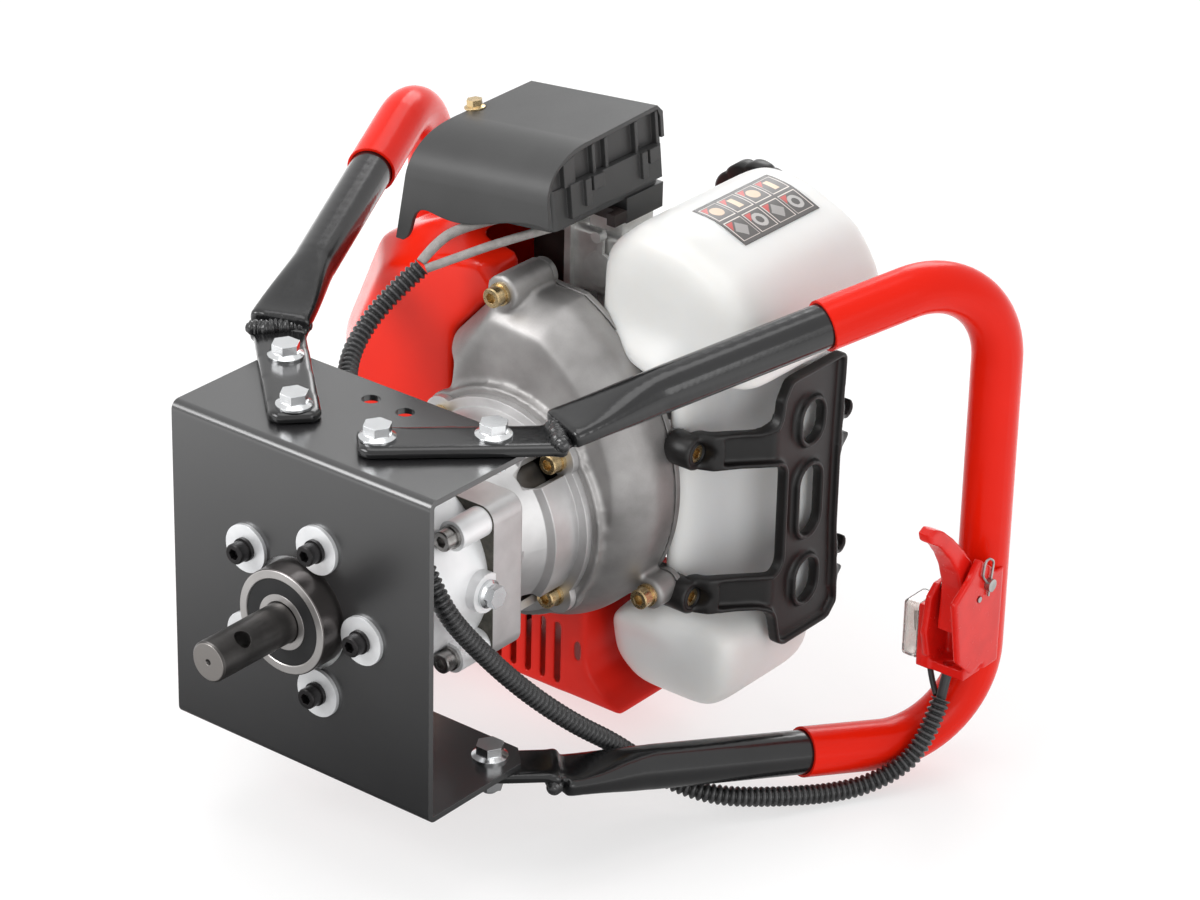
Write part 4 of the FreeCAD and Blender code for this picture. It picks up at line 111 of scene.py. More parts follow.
def add(tree, kind, inputs=None, **settings):
    """Adds one shader node with its settings, and gives each named input a value or a link."""
    made = tree.nodes.new("ShaderNode" + kind)
    for name, value in settings.items():
        setattr(made, name, value)
    for name, value in (inputs or {}).items():
        if isinstance(value, bpy.types.NodeSocket):
            tree.links.new(value, made.inputs[name])
        else:
            made.inputs[name].default_value = value
    return made


class HeadSizes(bpy.types.PropertyGroup):
    """Sizes of the pieces made here."""
    tube: FloatProperty(name="Tube", description="Outer diameter of the corrugated tube", default=10 * MM,
                        min=6 * MM, max=16 * MM, unit="LENGTH")
    groove: FloatProperty(name="Groove", description="Depth of the grooves between its ribs", default=1.6 * MM,
                          min=0.2 * MM, max=2 * MM, unit="LENGTH")
    rib: FloatProperty(name="Rib spacing", description="Distance from rib to rib", default=3.1 * MM, min=1.5 * MM,
                       max=6 * MM, unit="LENGTH")
    sleeve: FloatProperty(name="Sleeve", description="Diameter of the thicker braided sleeve", default=5 * MM,
                          min=2 * MM, max=8 * MM, unit="LENGTH")
    bead: FloatProperty(name="Weld", description="Height of the weld beads", default=4.2 * MM, min=1 * MM,
                        max=6 * MM, unit="LENGTH")
    ripples: IntProperty(name="Weld ripples", description="Ripples along each weld", default=13, min=3, max=40)
    lens: FloatProperty(name="Lens", description="Focal length that gives the photograph's view", default=130.417,
                        min=20, max=300, subtype="DISTANCE_CAMERA")


class HeadColours(bpy.types.PropertyGroup):
    """Colours of the large surfaces."""
    cowl: FloatVectorProperty(name="Cowl", description="Red of the moulded cowl", subtype="COLOR", size=4,
                              min=0, max=1, default=tone("#EE260F"))
    grips: FloatVectorProperty(name="Grips", description="Red of the dipped grips", subtype="COLOR", size=4,
                               min=0, max=1, default=tone("#E01E0A"))
    coat: FloatVectorProperty(name="Bracket", description="Black of the powder coat", subtype="COLOR", size=4,
                              min=0, max=1, default=tone("#1B1B1C"))
    tank: FloatVectorProperty(name="Tank", description="Milky plastic of the tank", subtype="COLOR", size=4,
                              min=0, max=1, default=tone("#E0DFDD"))


def finish(name, tint, drift, rough, spread=0.05, metal=0.0, patch=25.0, grain=0.5, relief=0.006, edge=0.3,
           **sockets):
    """One coat or raw surface. Its colour drifts from tint to drift in soft patches, its roughness varies by
    spread and it stands up by relief with one fine grain, and edge rounds the corners that catch the light.
    All lengths are in millimetres. Gives back the material, its tree, its shader, its bump node, and the sockets
    of its coordinates and its colour, by name."""
    made = bpy.data.materials.new(name)
    made.use_nodes = True
    tree = made.node_tree
    shader = tree.nodes["Principled BSDF"]
    where = add(tree, "TexCoord").outputs["Object"]
    patches = add(tree, "TexNoise", {"Vector": where, "Scale": 1000 / patch, "Detail": 3.0}).outputs["Fac"]
    spot = add(tree, "MapRange", {"Value": patches, "From Min": PATCH_RANGE[0],
                                  "From Max": PATCH_RANGE[1]}).outputs["Result"]
    first = tone(tint) if isinstance(tint, str) else tuple(tint)
    colour = add(tree, "Mix", {0: spot, 6: first, 7: tone(drift)}, data_type="RGBA").outputs[2]
    fine = add(tree, "TexNoise", {"Vector": where, "Scale": 1000 / grain, "Detail": 4.0}).outputs["Fac"]
    gloss = add(tree, "MapRange", {"Value": fine, "From Min": GRAIN_RANGE[0], "From Max": GRAIN_RANGE[1],
                                   "To Min": rough - spread, "To Max": rough + spread}).outputs["Result"]
    bump = add(tree, "Bump", {"Height": fine, "Distance": relief * MM})
    if edge:
        tree.links.new(add(tree, "Bevel", {"Radius": edge * MM}, samples=4).outputs["Normal"], bump.inputs["Normal"])
    tree.links.new(colour, shader.inputs["Base Color"])
    tree.links.new(gloss, shader.inputs["Roughness"])
    tree.links.new(bump.outputs["Normal"], shader.inputs["Normal"])
    shader.inputs["Metallic"].default_value = metal
    for socket, value in sockets.items():
        shader.inputs[socket.replace("_", " ")].default_value = value
    return {"material": made, "tree": tree, "shader": shader, "where": where, "colour": colour, "bump": bump}


def turned_marks(coat, pitch, depth, tint=None, before=-1.0, beyond=1.0):
    """Lathe marks about the shaft's line: a fine noise of the distance from that line and of the place along it,
    so each mark is a ring. Pitch and depth are in millimetres. Where Y is less than before, or the distance more
    than beyond, both in metres, the tint shows."""
    tree, where = coat["tree"], coat["where"]
    split = add(tree, "SeparateXYZ", {0: where})
    flat = add(tree, "VectorMath", {0: where, 1: (1.0, 0.0, 1.0)}, operation="MULTIPLY")
    reach = add(tree, "VectorMath", {0: flat.outputs[0]}, operation="LENGTH").outputs["Value"]
    ring = add(tree, "CombineXYZ", {0: reach, 1: split.outputs[1]}).outputs[0]
    marks = add(tree, "TexNoise", {"Vector": ring, "Scale": 1000 / pitch, "Detail": 3.0}).outputs["Fac"]
    bump = add(tree, "Bump", {"Height": marks, "Distance": depth * MM, "Normal": coat["bump"].outputs["Normal"]})
    tree.links.new(bump.outputs["Normal"], coat["shader"].inputs["Normal"])
    if tint:
        front = add(tree, "Math", {0: split.outputs[1], 1: before}, operation="LESS_THAN").outputs[0]
        rim = add(tree, "Math", {0: reach, 1: beyond}, operation="GREATER_THAN").outputs[0]
        bare = add(tree, "Math", {0: front, 1: rim}, operation="MAXIMUM").outputs[0]
        mixed = add(tree, "Mix", {0: bare, 6: coat["colour"], 7: tone(tint)}, data_type="RGBA").outputs[2]
        tree.links.new(mixed, coat["shader"].inputs["Base Color"])


def worn_edges(coat, tint, radius):
    """Bare metal where a coat has rubbed through: how far the rounded normal leans from the flat one, times a
    noise, past a threshold. It shows only on sharp corners."""
    tree = coat["tree"]
    blunt, sharp = 0.99, 0.72
    whole, bare = 0.34, 0.46
    corner = add(tree, "Bevel", {"Radius": radius * MM}, samples=6).outputs["Normal"]
    flat = add(tree, "NewGeometry").outputs["Normal"]
    lean = add(tree, "VectorMath", {0: corner, 1: flat}, operation="DOT_PRODUCT").outputs["Value"]
    broken = add(tree, "TexNoise", {"Vector": coat["where"], "Scale": 260.0, "Detail": 5.0}).outputs["Fac"]
    reach = add(tree, "MapRange", {"Value": lean, "From Min": blunt, "From Max": sharp}).outputs["Result"]
    both = add(tree, "Math", {0: reach, 1: broken}, operation="MULTIPLY").outputs[0]
    mask = add(tree, "MapRange", {"Value": both, "From Min": whole, "From Max": bare}).outputs["Result"]
    mixed = add(tree, "Mix", {0: mask, 6: coat["colour"], 7: tone(tint)}, data_type="RGBA").outputs[2]
    tree.links.new(mixed, coat["shader"].inputs["Base Color"])


def dress(coat, *nodes):
    """Puts one material in every slot of the named CAD nodes."""
    for name in nodes:
        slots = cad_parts[name].data.materials
        if not len(slots):
            slots.append(coat["material"])
        for number in range(len(slots)):
            slots[number] = coat["material"]


def skin(name, grid, material, uv=None, closed=True):
    """A closed surface from a grid of rings: ring i joins ring i + 1 by four-sided faces, the last point of a ring
    joins its first, and a fan closes each end. Where closed is false the last ring lies on the first, so the grid
    is a ring itself and the doubled points are dropped instead. The faces are turned round if the volume, the sum of
    a . (b x c) / 6 over all triangles, comes out negative."""
    rings, around = grid.shape[:2]
    centres = grid[[0, -1]].mean(axis=1)
    points = np.vstack([grid.reshape(-1, 3), centres])
    i, j = np.meshgrid(np.arange(rings - 1), np.arange(around), indexing="ij")
    a, b = i * around + j, i * around + (j + 1) % around
    quads = np.stack([a, b, b + around, a + around], axis=-1).reshape(-1, 4)
    if not closed:
        quads %= (rings - 1) * around
        points = points[:(rings - 1) * around]
    step = np.arange(around)
    first = np.stack([np.full(around, rings * around), (step + 1) % around, step], axis=-1)
    last = first[:, ::-1] + (rings - 1) * around
    last[:, 2] = rings * around + 1
    if not closed:
        first = last = first[:0]
    triangles = np.vstack([quads[:, [0, 1, 2]], quads[:, [0, 2, 3]], first, last])
    corner = points[triangles]
    volume = np.einsum("ij,ij->i", corner[:, 0], np.cross(corner[:, 1], corner[:, 2])).sum()
    if volume < 0:
        quads, first, last = quads[:, ::-1], first[:, ::-1], last[:, ::-1]
    mesh = bpy.data.meshes.new(name)
    mesh.from_pydata(points.tolist(), [], quads.tolist() + first.tolist() + last.tolist())
    mesh.polygons.foreach_set("use_smooth", np.ones(len(mesh.polygons), bool))
    if uv is not None:
        u, v = uv
        across = np.stack([j, j + 1, j + 1, j], axis=-1).reshape(-1, 4) * u
        along = np.stack([i, i, i + 1, i + 1], axis=-1).reshape(-1, 4) * v
        if volume < 0:
            across, along = across[:, ::-1], along[:, ::-1]
        flat = np.zeros((len(mesh.loops), 2))
        flat[:quads.size] = np.stack([across.ravel(), along.ravel()], axis=-1)
        mesh.uv_layers.new(name="wrap").data.foreach_set("uv", flat.ravel())
    mesh.materials.append(material)
    piece = bpy.data.objects.new(name, mesh)
    bpy.context.scene.collection.objects.link(piece)
    return piece


def softened(node, voxel, spread, coat, body="frame", crisp=None, shift=None):
    """A node's form again with its corners rounded as a mould leaves them. A copy of its surface is laid on even
    voxels, and then each point moves again and again half way to the mean of its neighbours, which spreads a
    corner over about voxel * sqrt(rounds / 2). Crisp gives each point's distance in millimetres from the places
    that stay nearly as they are, and over the next 6 mm the move grows to its full share. Shift gives a first move
    of each point, in millimetres."""
    full, fade, least = 0.5, 6, 0.02
    holder = bpy.data.objects.new(node + "_source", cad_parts[node].data.copy())
    bpy.context.scene.collection.objects.link(holder)
    weld = holder.modifiers.new("merge", "WELD")
    weld.merge_threshold = 0.002 * MM
    cells = holder.modifiers.new("cells", "REMESH")
    cells.mode = "VOXEL"
    cells.voxel_size = voxel * MM
    cells.use_smooth_shade = True
    mesh = bpy.data.meshes.new_from_object(holder.evaluated_get(bpy.context.evaluated_depsgraph_get()))
    bpy.data.objects.remove(holder)
    mesh.name = node + "_soft"
    place = np.empty(len(mesh.vertices) * 3)
    mesh.vertices.foreach_get("co", place)
    place = place.reshape(-1, 3)
    ends = np.empty(len(mesh.edges) * 2, np.int32)
    mesh.edges.foreach_get("vertices", ends)
    first, second = ends.reshape(-1, 2).T
    count = np.bincount(ends, minlength=len(place))[:, None]
    if shift:
        place += np.stack(shift(*(place / MM).T), axis=-1) * MM
    share = np.full((len(place), 1), full)
    if crisp:
        share = full * np.clip(crisp(*(place / MM).T) / fade, least, 1.0)[:, None]
    for _ in range(int(round(2 * (spread / voxel) ** 2))):
        total = np.stack([np.bincount(first, place[second, axis], len(place)) +
                          np.bincount(second, place[first, axis], len(place)) for axis in range(3)], axis=-1)
        place += share * (total / count - place)
    mesh.vertices.foreach_set("co", place.ravel())
    mesh.polygons.foreach_set("use_smooth", np.ones(len(mesh.polygons), bool))
    mesh.materials.clear()
    mesh.materials.append(coat["material"])
    mesh.update()
    piece = bpy.data.objects.new(node + "_soft", mesh)
    bpy.context.scene.collection.objects.link(piece)
    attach(piece, body)
    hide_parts(node)
    return piece


def spline_line(route):
    """Points along the NURBS spline of order 3 that has the route's points as its control points."""
    curve = bpy.data.curves.new("route", "CURVE")
    curve.dimensions = "3D"
    curve.resolution_u = 32
    spline = curve.splines.new("NURBS")
    spline.points.add(len(route) - 1)
    spline.points.foreach_set("co", np.column_stack([route, np.ones(len(route))]).ravel())
    spline.order_u = 3
    spline.use_endpoint_u = True
    holder = bpy.data.objects.new("route", curve)
    bpy.context.scene.collection.objects.link(holder)
    mesh = bpy.data.meshes.new_from_object(holder)
    line = np.empty(len(mesh.vertices) * 3)
    mesh.vertices.foreach_get("co", line)
    bpy.data.objects.remove(holder)
    bpy.data.meshes.remove(mesh)
    bpy.data.curves.remove(curve)
    return line.reshape(-1, 3)


def even(line, step):
    """The line again with points a step apart: each coordinate is interpolated over the distance run so far."""
    run = np.concatenate([[0], np.cumsum(np.linalg.norm(np.diff(line, axis=0), axis=1))])
    places = np.linspace(0, run[-1], max(8, int(round(run[-1] / step)) + 1))
    return np.column_stack([np.interp(places, run, line[:, axis]) for axis in range(3)]), places


def tube_grid(line, radius, around, reference):
    """Rings round a line: point + radius * (cos t * side + sin t * lift), where side is the tangent crossed with a
    reference direction that the line never runs along, and lift is the tangent crossed with side. Radius is one
    number, one for each ring, or a grid of ring by turn."""
    tangent = np.gradient(line, axis=0)
    tangent /= np.linalg.norm(tangent, axis=1, keepdims=True)
    side = np.cross(tangent, reference)
    side /= np.linalg.norm(side, axis=1, keepdims=True)
    lift = np.cross(tangent, side)
    turn = np.linspace(0, 2 * np.pi, around, endpoint=False)
    wide = np.broadcast_to(np.asarray(radius, float).reshape(-1, 1) if np.ndim(radius) == 1 else radius,
                           (len(line), around))[:, :, None]
    return line[:, None] + wide * (np.cos(turn)[None, :, None] * side[:, None] +
                                   np.sin(turn)[None, :, None] * lift[:, None])


def height_over(mesh, x, y):
    """Greatest height of a mesh over each point: every triangle whose weights at the point are all positive gives
    its height there, z = wa * za + wb * zb + wc * zc. Only triangles in the top 30 mm count."""
    top, thin, loose = 0.03, 1e-12, 1e-6
    mesh.calc_loop_triangles()
    points = np.empty(len(mesh.vertices) * 3)
    mesh.vertices.foreach_get("co", points)
    index = np.empty(len(mesh.loop_triangles) * 3, np.int32)
    mesh.loop_triangles.foreach_get("vertices", index)
    corner = points.reshape(-1, 3)[index].reshape(-1, 3, 3)
    near = (corner[:, :, 0].max(1) >= x.min()) & (corner[:, :, 0].min(1) <= x.max())
    near &= (corner[:, :, 1].max(1) >= y.min()) & (corner[:, :, 1].min(1) <= y.max())
    near &= corner[:, :, 2].max(1) > corner[:, :, 2].max() - top
    a, b, c = corner[near].transpose(1, 0, 2)
    area = (b[:, 0] - a[:, 0]) * (c[:, 1] - a[:, 1]) - (c[:, 0] - a[:, 0]) * (b[:, 1] - a[:, 1])
    keep = np.abs(area) > thin
    a, b, c, area = a[keep], b[keep], c[keep], area[keep]
    px, py = x.ravel()[:, None], y.ravel()[:, None]
    wb = ((px - a[:, 0]) * (c[:, 1] - a[:, 1]) - (c[:, 0] - a[:, 0]) * (py - a[:, 1])) / area
    wc = ((b[:, 0] - a[:, 0]) * (py - a[:, 1]) - (px - a[:, 0]) * (b[:, 1] - a[:, 1])) / area
    wa = 1 - wb - wc
    inside = (wa > -loose) & (wb > -loose) & (wc > -loose)
    return np.where(inside, wa * a[:, 2] + wb * b[:, 2] + wc * c[:, 2], -1).max(axis=1).reshape(x.shape)


class HEAD_OT_black_steel(bpy.types.Operator):
    """Powder coat on the bracket and black enamel on the handles"""
    bl_idname = "head.black_steel"
    bl_label = "Black steelwork"

    def execute(self, context):
        colours = context.scene.head_colours
        # Folded sheet, sprayed with satin powder and baked: a fine orange peel over flat faces.
        coat = finish("steel_powder_coated_satin_black", colours.coat, "#202021", 0.26, 0.008, patch=60, grain=0.9,
                      relief=0.0009, edge=0.5, Specular_IOR_Level=0.8, Coat_Weight=0.6, Coat_Roughness=0.24)
        worn_edges(coat, "#5B5B5C", 0.35)
        dress(coat, "frame_bracket")
        # Tube and flat bar, brushed with gloss enamel: smoother, with soft runs along the tube.
        coat = finish("steel_tube_gloss_black_enamel", "#111112", "#1A1A1B", 0.2, 0.05, patch=35, grain=2.2,
                      relief=0.02, edge=0.6, Specular_IOR_Level=0.45, Coat_Weight=0.2, Coat_Roughness=0.08)
        for node in ("handle_right", "handle_left"):
            softened(node, 1.3, 2.2, coat)
        return {"FINISHED"}


class HEAD_OT_castings(bpy.types.Operator):
    """Blasted aluminium of the gearbox, grey castings of the engine"""
    bl_idname = "head.castings"
    bl_label = "Castings"

    def execute(self, context):
        # Pressure die casting, shot-blasted bright: a fine even sparkle.
        coat = finish("aluminium_die_cast_shot_blasted", "#FBFBFC", "#F0F1F2", 0.4, 0.08, metal=0.35, patch=18,
                      grain=0.28, relief=0.012, edge=0.7)
        dress(coat, "gearbox_front_case")
        # The clutch bell, coloured darker and duller than the front case.
        coat = finish("aluminium_die_cast_dull", "#CFCECE", "#BDBCBC", 0.46, 0.08, metal=0.9, patch=18,
                      grain=0.3, relief=0.014, edge=0.8)
        dress(coat, "gearbox_rear_housing")
        # Sand-textured housing casting, tumbled: darker, with flow marks and a dull grain.
        coat = finish("aluminium_cast_tumbled_grey", "#A8A6A5", "#868483", 0.52, 0.1, metal=0.9, patch=30, grain=0.4,
                      relief=0.02, edge=0.9)
        dress(coat, "crankcase", "recoil_housing")
        softened("fan_housing", 1.5, 4, coat, crisp=self.lugs)
        # Cylinder and muffler run hot: the casting browns in soft patches.
        coat = finish("aluminium_cast_heat_tinted", "#86817C", "#6A625B", 0.55, 0.1, metal=0.9, patch=20, grain=0.4,
                      relief=0.02, edge=0.5)
        dress(coat, "cylinder")
        # Small zinc casting, barrel-polished: smooth and bright.
        coat = finish("zinc_die_cast_polished", "#F8F8F6", "#E4E4E2", 0.36, 0.08, metal=0.6, patch=8, grain=0.3,
                      relief=0.008, edge=0.4)
        dress(coat, "carburettor", "throttle_lever")
        return {"FINISHED"}

    def lugs(self, x, y, z):
        """Distance from what stays crisp on the fan housing: its two screwed lugs of 9 and 8 mm radius, the 62 mm
        about the shaft's line, and all behind Y 190."""
        return np.minimum.reduce([np.hypot(x + 9, z - 105) - 9, np.hypot(x - 71, z + 35) - 8, np.hypot(x, z) - 62,
                                  190 - y])


class HEAD_OT_shaft_line(bpy.types.Operator):
    """Turned shaft, ground bearing, gears and clutch"""
    bl_idname = "head.shaft_line"
    bl_label = "Shaft, bearing and gears"

    def execute(self, context):
        # Turned bar, dark phosphated, then sawn and centred: rings all over, a bare end face.
        coat = finish("steel_turned_dark_phosphated", "#565453", "#464443", 0.36, 0.06, metal=0.85, patch=12,
                      grain=0.3, relief=0.006, edge=0.4)
        turned_marks(coat, 0.35, 0.006, "#8A8683", before=-0.0483)
        dress(coat, "output_shaft")
        # Hardened rings, ground on their faces: bright, with marks too fine to feel, and darker at the outer rim.
        coat = finish("bearing_steel_ground", "#C9C6C4", "#B5B2B0", 0.32, 0.04, metal=0.9, patch=30, grain=0.2,
                      relief=0.002, edge=0.3)
        turned_marks(coat, 0.15, 0.002, "#5E5A59", beyond=0.0256)
        dress(coat, "output_bearing_outer", "output_bearing_inner", "output_bearing_balls")
        # Moulded nitrile seal between the rings: dull black with faint rings.
        coat = finish("rubber_seal_moulded", "#19191A", "#202021", 0.5, 0.05, patch=10, grain=0.3, relief=0.004,
                      Specular_IOR_Level=0.35)
        turned_marks(coat, 0.8, 0.01)
        dress(coat, "output_bearing_seals")
        # Gears and inner shafts, hobbed and oiled.
        coat = finish("steel_gear_hobbed_oiled", "#8D8B88", "#7A7671", 0.25, 0.05, metal=1.0, patch=10, grain=0.4,
                      relief=0.004)
        dress(coat, "gear_cluster_1", "gear_cluster_2", "gear_cluster_3", "layshaft", "input_pinion_shaft",
              "inner_bearings", "crankshaft")
        # Clutch drum, shoes and flywheel: turned iron and raw castings.
        coat = finish("iron_turned_dull", "#6F6D6B", "#5C5956", 0.45, 0.08, metal=0.95, patch=12, grain=0.4,
                      relief=0.012)
        dress(coat, "clutch_drum", "clutch_shoe_1", "clutch_shoe_2", "flywheel")
        return {"FINISHED"}


class HEAD_OT_fasteners(bpy.types.Operator):
    """Zinc, yellow zinc and black screws, washers and bolts"""
    bl_idname = "head.fasteners"
    bl_label = "Fasteners"

    def execute(self, context):
        # Headed, rolled and plated with bright zinc: faintly streaked mirror.
        coat = finish("steel_bright_zinc_plated", "#DADBDC", "#CED0D2", 0.2, 0.03, metal=1.0, patch=15, grain=0.6,
                      relief=0.0005, edge=0.2)
        dress(coat, "handle_fasteners", "oil_plug")
        # Stamped washers under the same plating, tumbled dull.
        coat = finish("steel_zinc_plated_tumbled", "#F2F3F4", "#E6E7E9", 0.36, 0.04, metal=0.6, patch=10, grain=0.5,
                      relief=0.001, edge=0.2)
        dress(coat, "face_washers")
        # Plain steel of the case screws and the spring clip, oiled.
        coat = finish("steel_bright_drawn_oiled", "#A5A3A1", "#8F8D8B", 0.3, 0.06, metal=1.0, patch=6, grain=0.4,
                      relief=0.003, edge=0.2)
        dress(coat, "case_screws", "trigger_spring_clip")
        # Plated with yellow chromate: gold that drifts to green.
        coat = finish("steel_yellow_chromate_plated", "#D2B689", "#B5A27C", 0.28, 0.06, metal=1.0, patch=3,
                      grain=0.5, relief=0.005, edge=0.25)
        dress(coat, "housing_screws", "filter_cover_nut")
        # Hardened screws, dipped in black oxide.
        coat = finish("steel_black_oxide", "#2A2829", "#1D1C1D", 0.34, 0.06, metal=0.6, patch=4, grain=0.4,
                      relief=0.006, edge=0.25)
        dress(coat, "face_screws", "clutch_shoe_screws")
        # Pressed silencer box in aluminised sheet, darkened by heat.
        coat = finish("steel_sheet_heat_darkened", "#4A4643", "#37322E", 0.5, 0.1, metal=0.8, patch=15, grain=0.5,
                      relief=0.01)
        dress(coat, "muffler")
        # Spark plug's white ceramic, and the coil's painted stack.
        coat = finish("ceramic_glazed_white", "#E3E2DE", "#D9D7D0", 0.15, 0.03, patch=8, relief=0.002)
        dress(coat, "spark_plug")
        coat = finish("coil_lacquered_black", "#2C2B2E", "#232226", 0.4, 0.06, patch=8, relief=0.01)
        dress(coat, "ignition_coil")
        return {"FINISHED"}


class HEAD_OT_mouldings(bpy.types.Operator):
    """Red cowl, guard, throttle and grips, black covers and cap, rubber, paper, foam and switch"""
    bl_idname = "head.mouldings"
    bl_label = "Mouldings and grips"

    def execute(self, context):
        colours = context.scene.head_colours
        # Glossy injection moulding: even red, faint sink marks.
        coat = finish("abs_moulded_gloss_red", colours.cowl, "#E6220D", 0.2, 0.04, patch=40, grain=6, relief=0.02,
                      edge=0, Specular_IOR_Level=0.25)
        softened("cylinder_shroud", 1.7, 6, coat, crisp=self.skirt)
        # The muffler's guard from a spark-eroded mould: satin red, crisp left of X 8, where its slots are.
        coat = finish("nylon_moulded_satin_red", "#E01F0C", "#D51B0A", 0.42, 0.05, patch=30, grain=0.4,
                      relief=0.012, edge=0, Specular_IOR_Level=0.3)
        softened("muffler_guard", 1.2, 3, coat, crisp=lambda x, y, z: x - 8)
        # Throttle housing and lever, polished mould. The lever stays crisp at its back's corner above the pivot.
        coat = finish("nylon_moulded_gloss_red", "#DE2018", "#D01A13", 0.24, 0.04, patch=12, grain=3, relief=0.01,
                      edge=0, Specular_IOR_Level=0.3)
        softened("throttle_housing", 0.8, 0.7, coat)
        softened("throttle_trigger", 0.5, 2.0, coat, body="trigger",
                 crisp=lambda x, y, z: np.hypot(y - 289, z + 24) - 4)
        # Grips, dipped in hot vinyl: thick, glossy, slightly wavy.
        coat = finish("vinyl_dipped_gloss_red", colours.grips, "#D81C09", 0.22, 0.04, patch=50, grain=7,
                      relief=0.04, edge=0.8, Specular_IOR_Level=0.15)
        dress(coat, "grip_sleeves")
        # Black parts of the air filter and the starter, from a lightly textured mould.
        coat = finish("nylon_moulded_satin_black", "#343434", "#3A3A3A", 0.45, 0.05, patch=30, grain=0.35,
                      relief=0.012, edge=0.9)
        dress(coat, "air_filter_cover", "air_filter_base", "recoil_handle", "recoil_pulley")
        # The tank's guard, from a smoother mould: darker, with rounded arms.
        coat = finish("nylon_moulded_black", "#100F0F", "#171515", 0.4, 0.05, patch=30, grain=0.35, relief=0.008,
                      edge=0.9, Specular_IOR_Level=0.35)
        softened("tank_guard", 0.9, 1.3, coat)
        self.bosses(coat)
        # The filler's cap, of the same plastic, with lobes to grip.
        self.cap(coat)
        # Pressed phenolic of the inlet block: dark brown, chalky.
        coat = finish("phenolic_pressed_dark_brown", "#2F2523", "#231B1A", 0.5, 0.08, patch=10, grain=0.5,
                      relief=0.02)
        dress(coat, "intake_insulator", "choke_lever")
        coat = finish("rubber_moulded_black", "#222223", "#2B2B2C", 0.5, 0.06, patch=10, relief=0.01)
        dress(coat, "spark_plug_cap")
        # Pressed paper gasket, and the filter's open foam.
        coat = finish("paper_gasket_pressed", "#55524A", "#403E38", 0.8, 0.05, patch=3, grain=0.3, relief=0.02)
        dress(coat, "gearbox_gasket")
        coat = finish("foam_open_cell_grey", "#3B3B36", "#2E2E2A", 0.9, 0.05, patch=4, grain=1.2, relief=0.5)
        dress(coat, "air_filter_element")
        # White rocker under a clear moulded boot.
        coat = finish("abs_moulded_gloss_white", "#DAD8D3", "#CFCDC7", 0.3, 0.04, patch=10, relief=0.004)
        dress(coat, "stop_switch")
        coat = finish("pvc_moulded_clear", "#F3EFEC", "#ECE6E2", 0.08, 0.03, patch=10, grain=3, relief=0.02,
                      edge=0, Transmission_Weight=0.92, IOR=1.5)
        softened("switch_boot", 0.5, 1.2, coat)
        return {"FINISHED"}

    def skirt(self, x, y, z):
        """Distance from what stays crisp on the cowl: all below Z -50, and the middle 76 mm behind Y 264."""
        return np.minimum(z + 50, np.maximum(np.abs(z) - 38, 264 - y))

    def cap(self, coat):
        """A profile of radius and place turned about the filler's axis. The radius at turn t changes by the profile's
        third number times 1.6 * |cos(6 t)| ** 0.5 - 0.8, which makes twelve round lobes."""
        profile = np.array([(16.5, 0.4, 0), (23.3, 0.4, 1), (24.6, 1.2, 1), (24.8, 9.2, 1), (23.6, 11.0, 1),
                            (20.5, 11.8, 0.3), (15.0, 11.9, 0), (8.0, 12.0, 0), (0.4, 12.0, 0)])
        lobe, half_lobes = 1.6, 6
        turn = np.linspace(0, 2 * np.pi, 144, endpoint=False)
        radius = profile[:, :1] + profile[:, 2:] * (lobe * np.abs(np.cos(half_lobes * turn)) ** 0.5 - lobe / 2)
        x, y, z = FILLER
        grid = np.stack([x + radius * np.cos(turn), np.broadcast_to(y + profile[:, 1:2], radius.shape),
                         z + radius * np.sin(turn)], axis=-1)
        piece = skin("fuel_cap_lobed", grid * MM, coat["material"])
        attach(piece, "cap")
        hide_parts("fuel_cap")

    def bosses(self, coat):
        """The round bosses at the guard's arms: a profile of radius and place turned about the screw's axis."""
        profile = np.array([(4.7, 0.6), (5.2, 0.0), (7.6, 0.0), (8.1, -0.2), (8.5, -0.9), (8.5, -14.0), (8.1, -14.6),
                            (7.4, -14.8), (4.8, -14.8), (4.7, -14.0)])
        turn = np.linspace(0, 2 * np.pi, 48, endpoint=False)
        for number, (x, y, z) in enumerate(GUARD_BOSSES):
            grid = np.stack([np.broadcast_to(x + profile[:, 1, None], (len(profile), len(turn))),
                             y + profile[:, :1] * np.cos(turn), z + profile[:, :1] * np.sin(turn)], axis=-1)
            ring = np.concatenate([grid, grid[:1]], axis=0) * MM
            piece = skin("guard_boss_%d" % (number + 1), ring, coat["material"], closed=False)
            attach(piece, "frame")


class HEAD_OT_tank(bpy.types.Operator):
    """Milky blown tank"""
    bl_idname = "head.tank"
    bl_label = "Tank"

    def execute(self, context):
        # Blow-moulded high-density polyethylene: light sinks in, the skin is dull with broad waves.
        coat = finish("polyethylene_blow_moulded_milky", context.scene.head_colours.tank, "#DCDBD8", 0.36, 0.04,
                      patch=45, grain=9, relief=0.08, edge=0, Subsurface_Weight=1.0, Subsurface_Scale=12 * MM,
                      Subsurface_Radius=(1.0, 0.92, 0.85), Specular_IOR_Level=0.4)
        softened("fuel_tank", 2.2, 10, coat, crisp=self.neck, shift=self.belly)
        return {"FINISHED"}

    def neck(self, x, y, z):
        """Distance from the filler's neck of 17 mm radius, which stays crisp. In front of Y 290 it grows by up to 30
        mm more."""
        return np.hypot(x - FILLER[0], z - FILLER[2]) - 17 + np.clip(290 - y, 0, 30)

    def belly(self, x, y, z):
        """The middle of the tank's front comes 13 mm forward: the product of four ramps, one from Y 238 to 214, one
        from X 80 to 75, and one at either end of its height."""
        ramps = (np.clip((238 - y) / 24, 0, 1) * np.clip((80 - x) / 5, 0, 1) * np.clip((z + 74) / 12, 0, 1) *
                 np.clip((92 - z) / 12, 0, 1))
        return 0 * x, -13 * ramps, 0 * x


